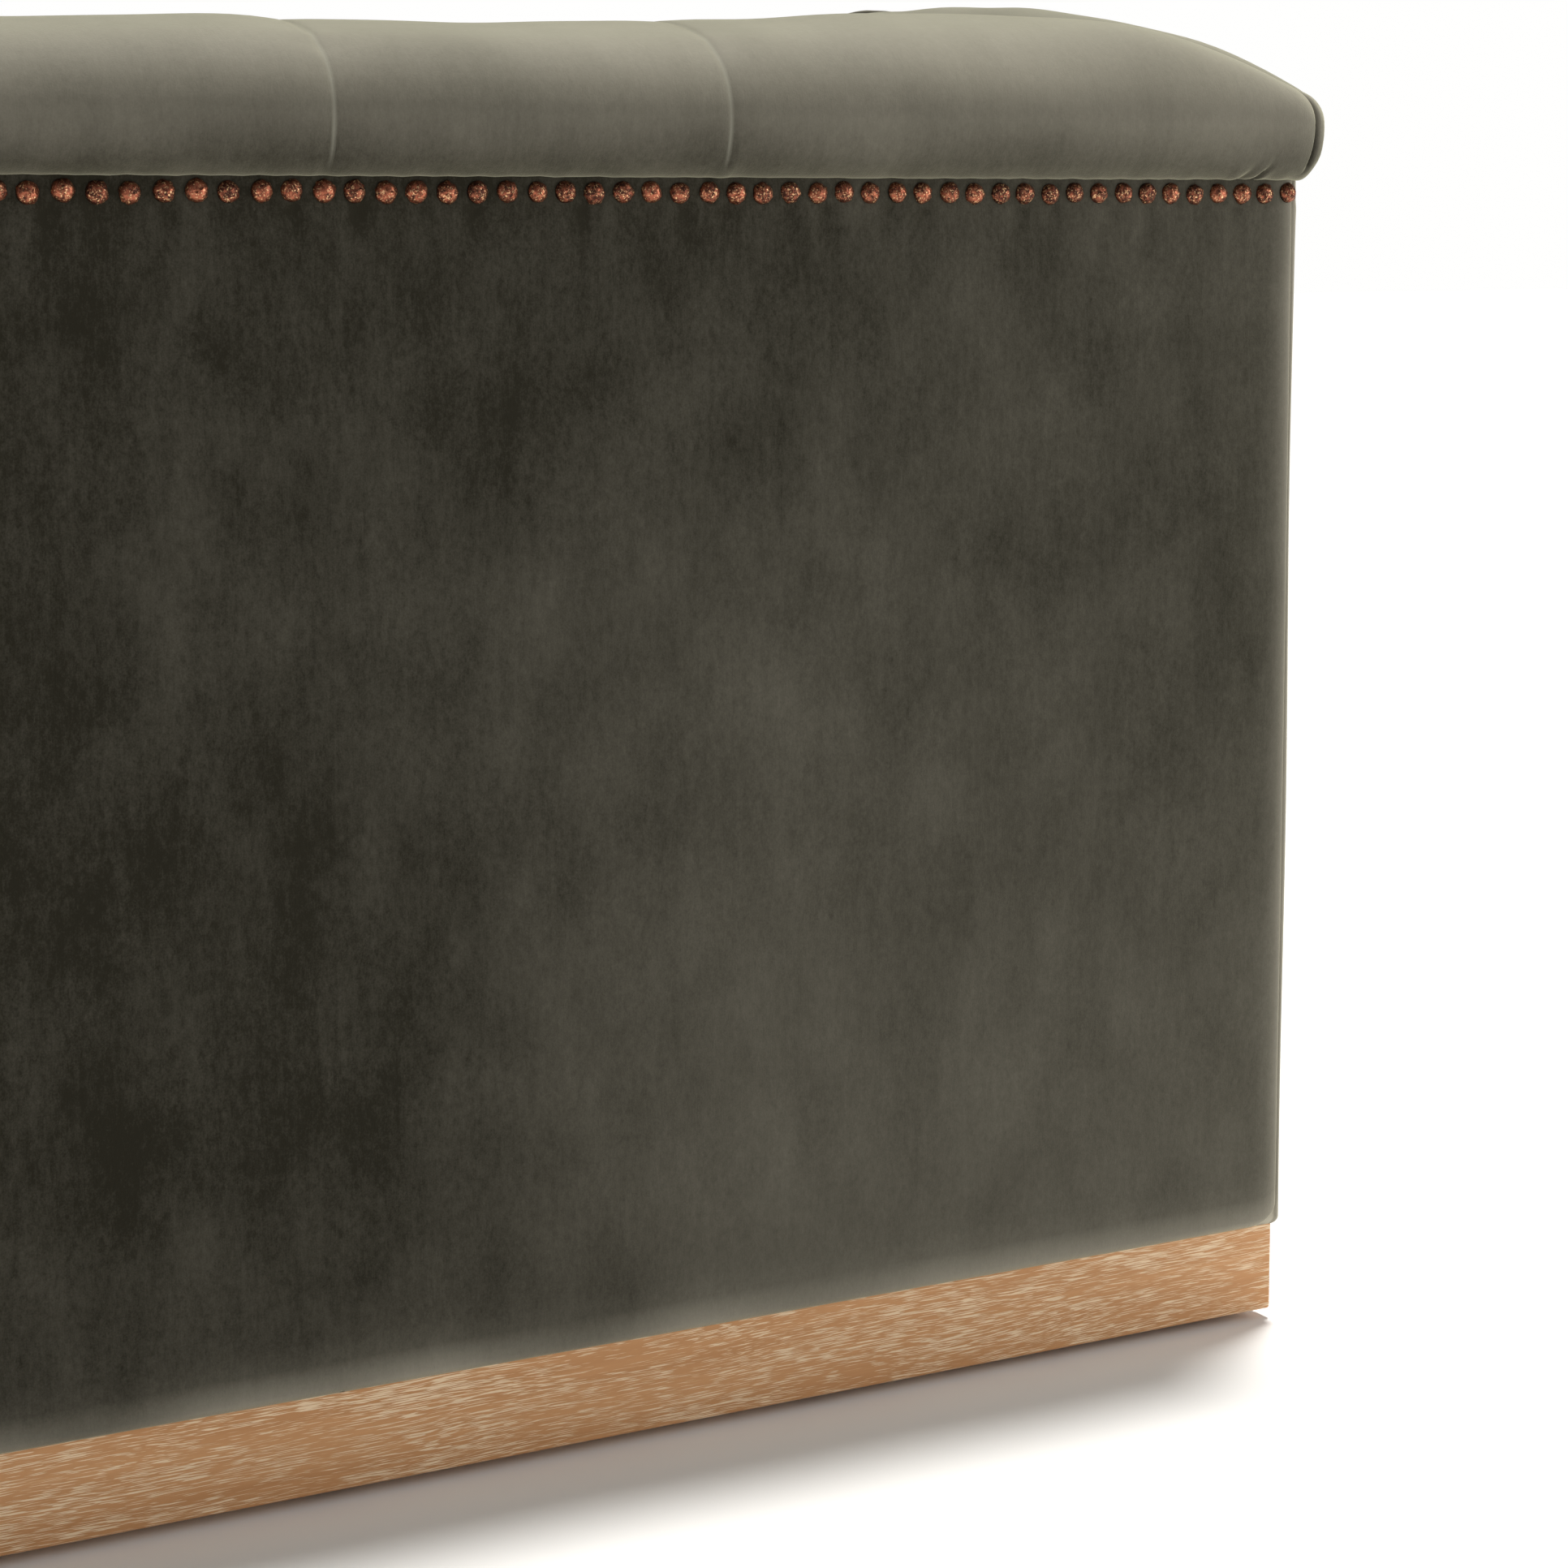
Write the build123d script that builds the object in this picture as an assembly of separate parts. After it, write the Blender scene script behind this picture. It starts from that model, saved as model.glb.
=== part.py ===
"""Upholstered bed with a rolled, winged headboard on a low timber plinth.

Frame: +X across the bed, +Y towards the head, +Z up. The origin is under the middle of the
bed, on the floor that the glides stand on. All lengths are millimetres.
"""
from build123d import *
import os

# ---- driving dimensions -------------------------------------------------------------------
OVERALL_LENGTH = 2400.0        # foot pad to the back of the roll
BACK_WIDTH = 2000.0            # outside cover to outside cover, across the wings
WALL_THICKNESS = 225.0         # headboard and wings, outside cover to inside cover
WING_LENGTH = 620.0            # wing, from the back cover to its front face
ROLL_OVERHANG = 32.0           # how far the roll stands out past the outside covers
ROLL_RISE = 178.0              # crown of the roll above the nail line
ROLL_FRONT_BULGE = 8.0         # how far the roll stands out past the inside covers
NAIL_HEIGHT = 1120.0           # centre line of the nailheads above the floor
TUCK_ABOVE_NAILS = 13.0        # where the roll's cover is tucked in
NAIL_DIAMETER = 19.0
NAIL_PITCH = 27.4
NAIL_DOME = 7.5
TUFT_PITCH = 182.5             # buttons across the inside of the headboard
GLIDE_HEIGHT = 10.0
PLINTH_HEIGHT = 90.0
PLINTH_THICKNESS = 25.0
PLINTH_INSET = 7.0             # plinth face behind the cover face
PLINTH_EDGE = 4.0              # rounding of the plinth's upright outside edges
WELL_WIDTH = 1550.0            # clear width between the wings and between the rails
RAIL_WIDTH = 75.0              # padded rail, inside to outside
RAIL_TOP = 360.0
RAIL_TIMBER_TOP = 270.0
SLAT_TOP = 265.0
SLAT_WIDTH = 90.0
SLAT_THICKNESS = 20.0
SLAT_COUNT = 13
SLAT_END_GAP = 3.0             # slat end to side rail
SLAT_INSET = 60.0              # middle of an end slat to the end of the well
LEDGER_WIDTH = 35.0
LEDGER_HEIGHT = 30.0
BEAM_WIDTH = 60.0
BEAM_HEIGHT = 90.0
LEVELLER_TRAVEL = 15.0         # how far a levelling foot screws out

# ---- stock sizes --------------------------------------------------------------------------
COVER = 2.0                    # outside cover cloth with its backing
THIN_BOARD = 3.0               # hardboard behind the outside covers
PLYWOOD = 12.0
STICK = 45.0                   # square section of the frame's timber
INNER_COVER = 4.0
INNER_FOAM = 41.0
ROLL_COVER = 3.0
FORMER_WIDTH = 120.0
FORMER_HEIGHT = 60.0
PAD_SKIN = 30.0                # foam on the outside of a rail
BOLT_RADIUS = 4.0
BOLT_HOLE_RADIUS = 4.25
THREAD_RADIUS = 5.0            # levelling foot's stem
THREAD_GAP = 0.05
LEG_BOTTOM = 30.0
LEG_REACH = (-700.0, 600.0)    # the end legs, along the bed
LEVELLER_PAD_RADIUS = 20.0
LEVELLER_PAD_HEIGHT = 8.0
BORE_SPARE = 5.0               # depth of a leg's bore above the stem
GLIDE_RADIUS = 11.0
WING_CLEAR = 150.0             # last block of a side rail to the wing's front
BOLT_HEAD_RADIUS = 8.0
BOLT_HEAD_HEIGHT = 6.0
BOLT_SHORT = 5.0               # bolt's end inside the far face of the wing's stick
DRILL_LENGTH = 160.0
BRACKET_STEEL = 4.0
BRACKET_REACH = 60.0
BUTTON_RADIUS = 12.0
BUTTON_HEIGHT = 7.0
BUTTON_ROWS = (500.0, 673.0, 847.0, 1020.0)
WING_BUTTON_START = 100.0      # first wing button behind the wing's facing
ROLL_CROWN_DEPTH = 115.0       # crown of the roll behind the outside cover
ROLL_OUTER_WAIST = 62.0        # where the roll stands out most, above the nails
ROLL_INNER_WAIST = 70.0
CUT_SPARE = 10.0               # spare length of the shapes that only cut others
THREAD_HELD = 30.0             # stem still inside the leg when the foot is screwed right out

# ---- places worked out from them ----------------------------------------------------------
HALF_LENGTH = OVERALL_LENGTH / 2
SIDE = BACK_WIDTH / 2                        # outside cover of a wing
BACK = HALF_LENGTH - ROLL_OVERHANG           # outside cover of the headboard
HEAD_FACE = BACK - WALL_THICKNESS            # inside cover of the headboard
WING_FACE = BACK - WING_LENGTH               # front face of a wing
BASE = GLIDE_HEIGHT + PLINTH_HEIGHT          # underside of the frame
FRAME_TOP = NAIL_HEIGHT + TUCK_ABOVE_NAILS   # top of the frame, where the roll sits
CROWN = NAIL_HEIGHT + ROLL_RISE
WELL = WELL_WIDTH / 2
INNER_BOARD = INNER_COVER + INNER_FOAM       # depth of the inside board behind the cover
INNER_FRAME = INNER_BOARD + PLYWOOD          # depth of the inside frame behind the cover
OUTER_FRAME = COVER + THIN_BOARD             # depth of the outside frame behind the cover
FACING = 12.0                                # padded facing on the end of a wing
WING_END = WING_FACE + FACING                # where a wing's timber starts
RAIL_OUT = WELL + RAIL_WIDTH                 # outside of a padded rail
BOLSTER_OVERHANG = 10.0
FOOT_FACE = -HALF_LENGTH + BOLSTER_OVERHANG  # outside of the foot pad
FOOT_IN = FOOT_FACE + RAIL_WIDTH             # inside of the foot rail
OUTER_STICK_X = SIDE - OUTER_FRAME           # outside face of a wing's outside frame
INNER_STICK_X = WELL + INNER_FRAME           # well-side face of a wing's inside frame
INNER_STICK_Y = HEAD_FACE + INNER_FRAME      # well-side face of the headboard's inside frame
OUTER_STICK_Y = BACK - OUTER_FRAME           # back face of the headboard's outside frame
RAIL_LEVELS = (BASE, (BASE + FRAME_TOP - STICK) / 2, FRAME_TOP - STICK)
SLAT_BOTTOM = SLAT_TOP - SLAT_THICKNESS
SIDES = {"left": -1, "right": 1}             # seen from the foot, looking towards the head
THREAD_TOP = LEG_BOTTOM + THREAD_HELD + LEVELLER_TRAVEL
BOLT_LEVELS = (BASE + 30.0, BASE + 90.0)     # heights of the bolts through the side rails


# ---- helpers ------------------------------------------------------------------------------
def block(x_span, y_span, z_span):
    """A box between two values on each axis, given in either order."""
    spans = [sorted(span) for span in (x_span, y_span, z_span)]
    sizes = [high - low for low, high in spans]
    middle = [(high + low) / 2 for low, high in spans]
    return Pos(*middle) * Box(*sizes)


def prism(points, z_span):
    """An upright prism on a polygon of (x, y) points."""
    face = Face(Wire.make_polygon([Vector(x, y, z_span[0]) for x, y in points], close=True))
    return Solid.extrude(face, Vector(0, 0, z_span[1] - z_span[0]))


def rod(start, direction, length, radius):
    """A cylinder from a start point along a direction."""
    plane = Plane(origin=start, z_dir=direction)
    return Solid.make_cylinder(radius, length, plane)


def dome(centre, direction, radius, height):
    """A shallow solid dome, flat side on its centre point."""
    sphere_radius = (radius**2 + height**2) / (2 * height)
    with BuildPart() as shape:
        with BuildSketch(Plane.XZ):
            with BuildLine():
                Line((0, 0), (radius, 0))
                RadiusArc((radius, 0), (0, height), -sphere_radius)
                Line((0, height), (0, 0))
            make_face()
        revolve(axis=Axis.Z)
    return Plane(origin=centre, z_dir=direction).location * shape.part.solid()


def as_node(solids):
    """One solid as itself, several as a group."""
    solids = [solid for part in solids for solid in part.solids()]
    return solids[0] if len(solids) == 1 else Compound(children=solids)


def evenly(low, high, count):
    """Places from low to high, both ends included."""
    return [low + (high - low) * i / (count - 1) for i in range(count)]


# ---- the roll along the top ---------------------------------------------------------------
def roll_section(skin, plane):
    """The roll's section, one skin inside, drawn as (depth behind the outside cover, height)."""
    crown = ROLL_CROWN_DEPTH
    outer_waist = NAIL_HEIGHT + ROLL_OUTER_WAIST
    inner_waist = NAIL_HEIGHT + ROLL_INNER_WAIST
    outer_reach = crown + ROLL_OVERHANG - skin
    inner_reach = WALL_THICKNESS + ROLL_FRONT_BULGE - skin - crown
    inner_foot = WALL_THICKNESS - INNER_COVER - skin
    with BuildSketch(plane) as sketch:
        with BuildLine():
            EllipticalCenterArc((skin, outer_waist), ROLL_OVERHANG, outer_waist - FRAME_TOP,
                                180, arc_size=90)
            EllipticalCenterArc((crown, outer_waist), outer_reach, CROWN - skin - outer_waist,
                                90, arc_size=90)
            EllipticalCenterArc((crown, inner_waist), inner_reach, CROWN - skin - inner_waist,
                                0, arc_size=90)
            EllipticalCenterArc((inner_foot, inner_waist), crown + inner_reach - inner_foot,
                                inner_waist - FRAME_TOP, 270, arc_size=90)
            Line((inner_foot, FRAME_TOP), (skin, FRAME_TOP))
        make_face()
    return sketch.sketch.face()


def roll_bar(skin, where, span):
    """The roll's section carried along X on the headboard, or along Y on a wing."""
    start, end = span
    if where == "back":
        plane = Plane(origin=(start, BACK, 0), x_dir=(0, -1, 0), z_dir=(-1, 0, 0))
        return Solid.extrude(roll_section(skin, plane), Vector(end - start, 0, 0))
    sign = SIDES[where]
    plane = Plane(origin=(sign * SIDE, start, 0), x_dir=(-sign, 0, 0), z_dir=(0, sign, 0))
    return Solid.extrude(roll_section(skin, plane), Vector(0, end - start, 0))


def mitre_zone(where):
    """The upright prism that a stretch of the roll fills, cut at 45 degrees at the corners."""
    out = ROLL_OVERHANG + CUT_SPARE
    deep = WALL_THICKNESS + 4 * CUT_SPARE
    levels = (FRAME_TOP - CUT_SPARE, CROWN + CUT_SPARE)
    if where == "back":
        corners = [(SIDE + out, BACK + out), (SIDE - deep, BACK - deep)]
        return prism([corners[0], corners[1], (-corners[1][0], corners[1][1]),
                      (-corners[0][0], corners[0][1])], levels)
    sign = SIDES[where]
    return prism([(sign * (SIDE + out), BACK + out), (sign * (SIDE - deep), BACK - deep),
                  (sign * (SIDE - deep), WING_END), (sign * (SIDE + out), WING_END)], levels)


def roll_solid(where, skin):
    """The whole roll along the headboard or a wing, one skin inside its cover's face."""
    if where == "back":
        bar = roll_bar(skin, where, (-SIDE - 6 * CUT_SPARE, SIDE + 6 * CUT_SPARE))
    else:
        bar = roll_bar(skin, where, (WING_END, BACK + 6 * CUT_SPARE))
    return (bar & mitre_zone(where)).solid()


def former(where):
    """Timber former that the roll's foam is wrapped round."""
    near = (WALL_THICKNESS - FORMER_WIDTH) / 2
    far = near + FORMER_WIDTH
    levels = (FRAME_TOP, FRAME_TOP + FORMER_HEIGHT)
    if where == "back":
        bar = block((-SIDE, SIDE), (BACK - near, BACK - far), levels)
    else:
        sign = SIDES[where]
        bar = block((sign * (SIDE - near), sign * (SIDE - far)), (WING_END, BACK), levels)
    return (bar & mitre_zone(where)).solid()


# ---- headboard and wings ------------------------------------------------------------------
def back_rails():
    """The three rails of the headboard's outside frame."""
    return [block((-OUTER_STICK_X + STICK, OUTER_STICK_X - STICK),
                  (OUTER_STICK_Y - STICK, OUTER_STICK_Y), (level, level + STICK))
            for level in RAIL_LEVELS]


def front_rails():
    """The three rails of the headboard's inside frame."""
    return [block((-INNER_STICK_X, INNER_STICK_X), (INNER_STICK_Y, INNER_STICK_Y + STICK),
                  (level, level + STICK)) for level in RAIL_LEVELS]


def rear_posts():
    return [block((s * (OUTER_STICK_X - STICK), s * OUTER_STICK_X),
                  (OUTER_STICK_Y - STICK, OUTER_STICK_Y), (BASE, FRAME_TOP))
            for s in SIDES.values()]


def front_posts():
    return [block((s * INNER_STICK_X, s * (INNER_STICK_X + STICK)),
                  (INNER_STICK_Y, INNER_STICK_Y + STICK), (BASE, FRAME_TOP))
            for s in SIDES.values()]


def wing_posts():
    """An outside and an inside post at the open end of each wing."""
    spans = [(OUTER_STICK_X - STICK, OUTER_STICK_X), (INNER_STICK_X, INNER_STICK_X + STICK)]
    return [block((s * low, s * high), (WING_END, WING_END + STICK), (BASE, FRAME_TOP))
            for s in SIDES.values() for low, high in spans]


def wing_outer_rails():
    return [block((s * (OUTER_STICK_X - STICK), s * OUTER_STICK_X),
                  (WING_END + STICK, OUTER_STICK_Y - STICK), (level, level + STICK))
            for s in SIDES.values() for level in RAIL_LEVELS]


def wing_inner_rails():
    return [block((s * INNER_STICK_X, s * (INNER_STICK_X + STICK)),
                  (WING_END + STICK, INNER_STICK_Y), (level, level + STICK))
            for s in SIDES.values() for level in RAIL_LEVELS]


def spacer_blocks():
    """Short blocks that hold the inside and outside frames apart."""
    made = []
    for level in RAIL_LEVELS:
        for x in evenly(-800.0, 800.0, 5):
            made.append(block((x - STICK / 2, x + STICK / 2),
                              (INNER_STICK_Y + STICK, OUTER_STICK_Y - STICK),
                              (level, level + STICK)))
        for s in SIDES.values():
            made.append(block((s * (INNER_STICK_X + STICK), s * (OUTER_STICK_X - STICK)),
                              (WING_END, WING_END + STICK), (level, level + STICK)))
    return made


def back_board():
    return block((-OUTER_STICK_X, OUTER_STICK_X), (OUTER_STICK_Y, BACK - COVER),
                 (BASE, FRAME_TOP))


def wing_outer_boards():
    return [block((s * OUTER_STICK_X, s * (SIDE - COVER)), (WING_END, BACK - COVER),
                  (BASE, FRAME_TOP)) for s in SIDES.values()]


def front_board():
    return block((-WELL - INNER_BOARD, WELL + INNER_BOARD),
                 (HEAD_FACE + INNER_BOARD, INNER_STICK_Y), (BASE, FRAME_TOP))


def wing_inner_board(sign):
    return block((sign * (WELL + INNER_BOARD), sign * INNER_STICK_X),
                 (WING_END, INNER_STICK_Y), (BASE, FRAME_TOP))


def back_cover():
    return block((-SIDE + COVER, SIDE - COVER), (BACK - COVER, BACK), (BASE, FRAME_TOP))


def wing_outer_cover(sign):
    return block((sign * (SIDE - COVER), sign * SIDE), (WING_END, BACK), (BASE, FRAME_TOP))


def headboard_foam():
    return block((-WELL - INNER_COVER, WELL + INNER_COVER),
                 (HEAD_FACE + INNER_COVER, HEAD_FACE + INNER_BOARD),
                 (RAIL_TIMBER_TOP, FRAME_TOP))


def headboard_front_cover():
    return block((-WELL - INNER_COVER, WELL + INNER_COVER),
                 (HEAD_FACE, HEAD_FACE + INNER_COVER), (RAIL_TIMBER_TOP, FRAME_TOP))


def wing_foam(sign):
    return block((sign * (WELL + INNER_COVER), sign * (WELL + INNER_BOARD)),
                 (WING_END, HEAD_FACE + INNER_BOARD), (RAIL_TIMBER_TOP, FRAME_TOP))


def wing_inner_cover(sign):
    return block((sign * WELL, sign * (WELL + INNER_COVER)), (WING_END, HEAD_FACE),
                 (RAIL_TIMBER_TOP, FRAME_TOP))


def wing_facing(where):
    """The padded facing that closes the open end of a wing, notched over the padded rail."""
    sign = SIDES[where]
    wall = block((sign * WELL, sign * SIDE), (WING_FACE, WING_END), (BASE, FRAME_TOP))
    top = roll_bar(0.0, where, (WING_FACE, WING_END))
    notch = block((sign * WELL, sign * (RAIL_OUT + BOLSTER_OVERHANG)), (WING_FACE, WING_END),
                  (BASE, RAIL_TOP))
    return ((wall + top).solid() - notch).solid()


def head_buttons():
    """Buttons on the headboard: rows of nine and eight by turns, in a diamond grid."""
    made = []
    for row, level in enumerate(BUTTON_ROWS):
        count = 9 if row % 2 == 0 else 8
        reach = TUFT_PITCH * (count - 1) / 2
        made += [dome((x, HEAD_FACE, level), (0, -1, 0), BUTTON_RADIUS, BUTTON_HEIGHT)
                 for x in evenly(-reach, reach, count)]
    return made


def wing_buttons(sign):
    """Buttons on the inside of a wing: two and one by turns."""
    made = []
    for row, level in enumerate(BUTTON_ROWS):
        for step in ((0.5,) if row % 2 else (0.0, 1.0)):
            y = WING_END + WING_BUTTON_START + step * TUFT_PITCH
            made.append(dome((sign * WELL, y, level), (-sign, 0, 0), BUTTON_RADIUS,
                             BUTTON_HEIGHT))
    return made


def nailheads_back():
    count = int((BACK_WIDTH - NAIL_DIAMETER) / NAIL_PITCH) + 1
    reach = NAIL_PITCH * (count - 1) / 2
    return [dome((x, BACK, NAIL_HEIGHT), (0, 1, 0), NAIL_DIAMETER / 2, NAIL_DOME)
            for x in evenly(-reach, reach, count)]


def nailheads_wings():
    count = int((WING_LENGTH - NAIL_DIAMETER) / NAIL_PITCH) + 1
    low = BACK - WING_LENGTH / 2 - NAIL_PITCH * (count - 1) / 2
    return [dome((s * SIDE, low + NAIL_PITCH * i, NAIL_HEIGHT), (s, 0, 0),
                 NAIL_DIAMETER / 2, NAIL_DOME)
            for s in SIDES.values() for i in range(count)]


# ---- rails, deck and base -----------------------------------------------------------------
def side_rail(sign):
    return block((sign * WELL, sign * (RAIL_OUT - PAD_SKIN)),
                 (FOOT_IN, HEAD_FACE + INNER_BOARD), (BASE, RAIL_TIMBER_TOP))


def foot_rail():
    return block((-RAIL_OUT + PAD_SKIN, RAIL_OUT - PAD_SKIN),
                 (FOOT_FACE + PAD_SKIN, FOOT_IN), (BASE, RAIL_TIMBER_TOP))


def rail_pad(sign):
    """Foam and cover along a side rail: a skin on its outside and a bolster on top."""
    skin = block((sign * (RAIL_OUT - PAD_SKIN), sign * RAIL_OUT),
                 (FOOT_FACE + PAD_SKIN, WING_END), (BASE, RAIL_TIMBER_TOP))
    bolster = block((sign * WELL, sign * (RAIL_OUT + BOLSTER_OVERHANG)),
                    (FOOT_IN, WING_END), (RAIL_TIMBER_TOP, RAIL_TOP))
    return (skin + bolster).solid()


def foot_pad():
    """Foam and cover along the foot rail, filling both foot corners."""
    skin = block((-RAIL_OUT, RAIL_OUT), (FOOT_FACE, FOOT_FACE + PAD_SKIN),
                 (BASE, RAIL_TIMBER_TOP))
    reach = RAIL_OUT + BOLSTER_OVERHANG
    bolster = block((-reach, reach), (-HALF_LENGTH, FOOT_IN), (RAIL_TIMBER_TOP, RAIL_TOP))
    return (skin + bolster).solid()


def plinth_board(x_span, y_span, rounded=()):
    """A plinth board; the upright edges at the (x, y) places given are rounded."""
    board = block(x_span, y_span, (GLIDE_HEIGHT, BASE)).solid()
    edges = [edge for edge in board.edges().filter_by(Axis.Z)
             if any(abs(edge.center().X - x) < 0.1 and abs(edge.center().Y - y) < 0.1
                    for x, y in rounded)]
    return board.fillet(PLINTH_EDGE, edges) if edges else board


def plinth_boards():
    """The ring of boards that the whole bed stands on, as {node: solids}."""
    side = SIDE - PLINTH_INSET
    back = BACK - PLINTH_INSET
    wing = WING_FACE + PLINTH_INSET
    rail = RAIL_OUT - PLINTH_INSET
    foot = FOOT_FACE + PLINTH_INSET
    thick = PLINTH_THICKNESS
    boards = {"plinth_back": [plinth_board((-side, side), (back - thick, back),
                                           ((-side, back), (side, back)))],
              "plinth_foot": [plinth_board((-rail, rail), (foot, foot + thick),
                                           ((-rail, foot), (rail, foot)))],
              "plinth_wing_returns": []}
    for name, s in SIDES.items():
        boards["plinth_wing_" + name] = [plinth_board((s * (side - thick), s * side),
                                                      (wing, back - thick), ((s * side, wing),))]
        boards["plinth_wing_returns"].append(
            plinth_board((s * (rail - thick), s * (side - thick)), (wing, wing + thick)))
        boards["plinth_side_" + name] = [plinth_board((s * (rail - thick), s * rail),
                                                      (foot + thick, wing))]
    return boards


def block_places():
    """(x, y) of the blocks inside the plinth, each with a glide under it."""
    set_back = PLINTH_INSET + PLINTH_THICKNESS + STICK / 2
    across = SIDE - set_back
    foot_across = RAIL_OUT - set_back
    places = [(x, BACK - set_back) for x in evenly(-across, across, 5)]
    places += [(x, FOOT_FACE + set_back) for x in evenly(-foot_across, foot_across, 3)]
    for s in SIDES.values():
        places.append((s * across, WING_FACE + set_back))
        places += [(s * foot_across, y) for y in evenly(LEG_REACH[0], WING_FACE - WING_CLEAR, 3)]
    return places


def plinth_blocks():
    """Square blocks glued inside the plinth, from its underside to the frame."""
    return [block((x - STICK / 2, x + STICK / 2), (y - STICK / 2, y + STICK / 2),
                  (GLIDE_HEIGHT, BASE))
            for x, y in block_places()]


def glides():
    """Round pads under the plinth's blocks."""
    return [rod((x, y, 0), (0, 0, 1), GLIDE_HEIGHT, GLIDE_RADIUS) for x, y in block_places()]


def slat_ledgers():
    return [block((s * (WELL - LEDGER_WIDTH), s * WELL), (FOOT_IN, HEAD_FACE),
                  (SLAT_BOTTOM - LEDGER_HEIGHT, SLAT_BOTTOM))
            for s in SIDES.values()]


def centre_beam():
    return block((-BEAM_WIDTH / 2, BEAM_WIDTH / 2), (FOOT_IN, HEAD_FACE + INNER_BOARD),
                 (SLAT_BOTTOM - BEAM_HEIGHT, SLAT_BOTTOM))


def slats():
    reach = WELL - SLAT_END_GAP
    middles = evenly(FOOT_IN + SLAT_INSET, HEAD_FACE - SLAT_INSET, SLAT_COUNT)
    return [block((-reach, reach), (y - SLAT_WIDTH / 2, y + SLAT_WIDTH / 2),
                  (SLAT_BOTTOM, SLAT_TOP))
            for y in middles]


def leg_places():
    return evenly(*LEG_REACH, 3)


def support_legs():
    """Square legs under the beam, each bored for its levelling foot."""
    made = []
    for y in leg_places():
        leg = block((-STICK / 2, STICK / 2), (y - STICK / 2, y + STICK / 2),
                    (LEG_BOTTOM, SLAT_BOTTOM - BEAM_HEIGHT))
        bore = rod((0, y, LEG_BOTTOM), (0, 0, 1), THREAD_TOP + BORE_SPARE - LEG_BOTTOM,
                   THREAD_RADIUS + THREAD_GAP)
        made.append(leg - bore)
    return made


def leveller(y):
    """A levelling foot: a round pad on a threaded stem, at rest on the floor."""
    pad = rod((0, y, 0), (0, 0, 1), LEVELLER_PAD_HEIGHT, LEVELLER_PAD_RADIUS)
    stem = rod((0, y, LEVELLER_PAD_HEIGHT), (0, 0, 1), THREAD_TOP - LEVELLER_PAD_HEIGHT,
               THREAD_RADIUS)
    return (pad + stem).solid()


def bolt_lines():
    """(start point, direction) of the bolts through each side rail into its wing."""
    return [((s * (WELL - BOLT_HEAD_HEIGHT), y, z), (s, 0, 0))
            for s in SIDES.values()
            for y in (WING_END + STICK / 2, INNER_STICK_Y - 60.0)
            for z in BOLT_LEVELS]


def rail_bolts():
    """Round-headed bolts; their heads stand on the rail's inside face."""
    length = BOLT_HEAD_HEIGHT + RAIL_WIDTH - PAD_SKIN + PLYWOOD + STICK - BOLT_SHORT
    bolts = []
    for (x, y, z), direction in bolt_lines():
        shank = rod((x, y, z), direction, length, BOLT_RADIUS)
        head = rod((x, y, z), direction, BOLT_HEAD_HEIGHT, BOLT_HEAD_RADIUS)
        bolts.append((shank + head).solid())
    return bolts


def drilled(solid):
    """The same piece with clearance holes for the rail bolts."""
    for (x, y, z), direction in bolt_lines():
        solid = solid - rod((x, y, z), direction, DRILL_LENGTH, BOLT_HOLE_RADIUS)
    return solid


def corner_brackets():
    """Steel angles that join the side rails to the foot rail, inside the well."""
    made = []
    for s in SIDES.values():
        levels = (BASE + 10.0, BASE + 110.0)
        on_side = block((s * (WELL - BRACKET_STEEL), s * WELL),
                        (FOOT_IN, FOOT_IN + BRACKET_REACH), levels)
        on_foot = block((s * (WELL - BRACKET_REACH), s * WELL),
                        (FOOT_IN, FOOT_IN + BRACKET_STEEL), levels)
        made.append((on_side + on_foot).solid())
    return made


# ---- every node ---------------------------------------------------------------------------
def all_nodes():
    nodes = {
        "back_rails": back_rails(),
        "front_rails": front_rails(),
        "rear_posts": rear_posts(),
        "front_posts": front_posts(),
        "wing_posts": [drilled(post) for post in wing_posts()],
        "wing_outer_rails": wing_outer_rails(),
        "wing_inner_rails": [drilled(rail) for rail in wing_inner_rails()],
        "spacer_blocks": spacer_blocks(),
        "back_board": [back_board()],
        "front_board": [front_board()],
        "wing_outer_boards": wing_outer_boards(),
        "back_cover": [back_cover()],
        "headboard_foam": [headboard_foam()],
        "headboard_front_cover": [headboard_front_cover()],
        "tuft_buttons": head_buttons() + wing_buttons(-1) + wing_buttons(1),
        "nailheads_back": nailheads_back(),
        "nailheads_wings": nailheads_wings(),
        "foot_rail": [foot_rail()],
        "foot_pad": [foot_pad()],
        "slat_ledgers": slat_ledgers(),
        "centre_beam": [centre_beam()],
        "slats": slats(),
        "support_legs": support_legs(),
        "plinth_blocks": plinth_blocks(),
        "glides": glides(),
        "rail_bolts": rail_bolts(),
        "corner_brackets": corner_brackets(),
    }
    for name, s in SIDES.items():
        nodes["wing_inner_board_" + name] = [drilled(wing_inner_board(s))]
        nodes["wing_outer_cover_" + name] = [wing_outer_cover(s)]
        nodes["wing_foam_" + name] = [wing_foam(s)]
        nodes["wing_inner_cover_" + name] = [wing_inner_cover(s)]
        nodes["wing_facing_" + name] = [wing_facing(name)]
        nodes["side_rail_" + name] = [drilled(side_rail(s))]
        nodes["rail_pad_" + name] = [rail_pad(s)]
    for where in ("back", *SIDES):
        timber = former(where)
        inside = roll_solid(where, ROLL_COVER)
        nodes["roll_former_" + where] = [timber]
        nodes["roll_foam_" + where] = [inside - timber]
        nodes["roll_cover_" + where] = [roll_solid(where, 0.0) - inside]
    for name, y in zip(("foot", "middle", "head"), leg_places()):
        nodes["leveller_" + name] = [leveller(y)]
    nodes.update(plinth_boards())
    return nodes


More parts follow.
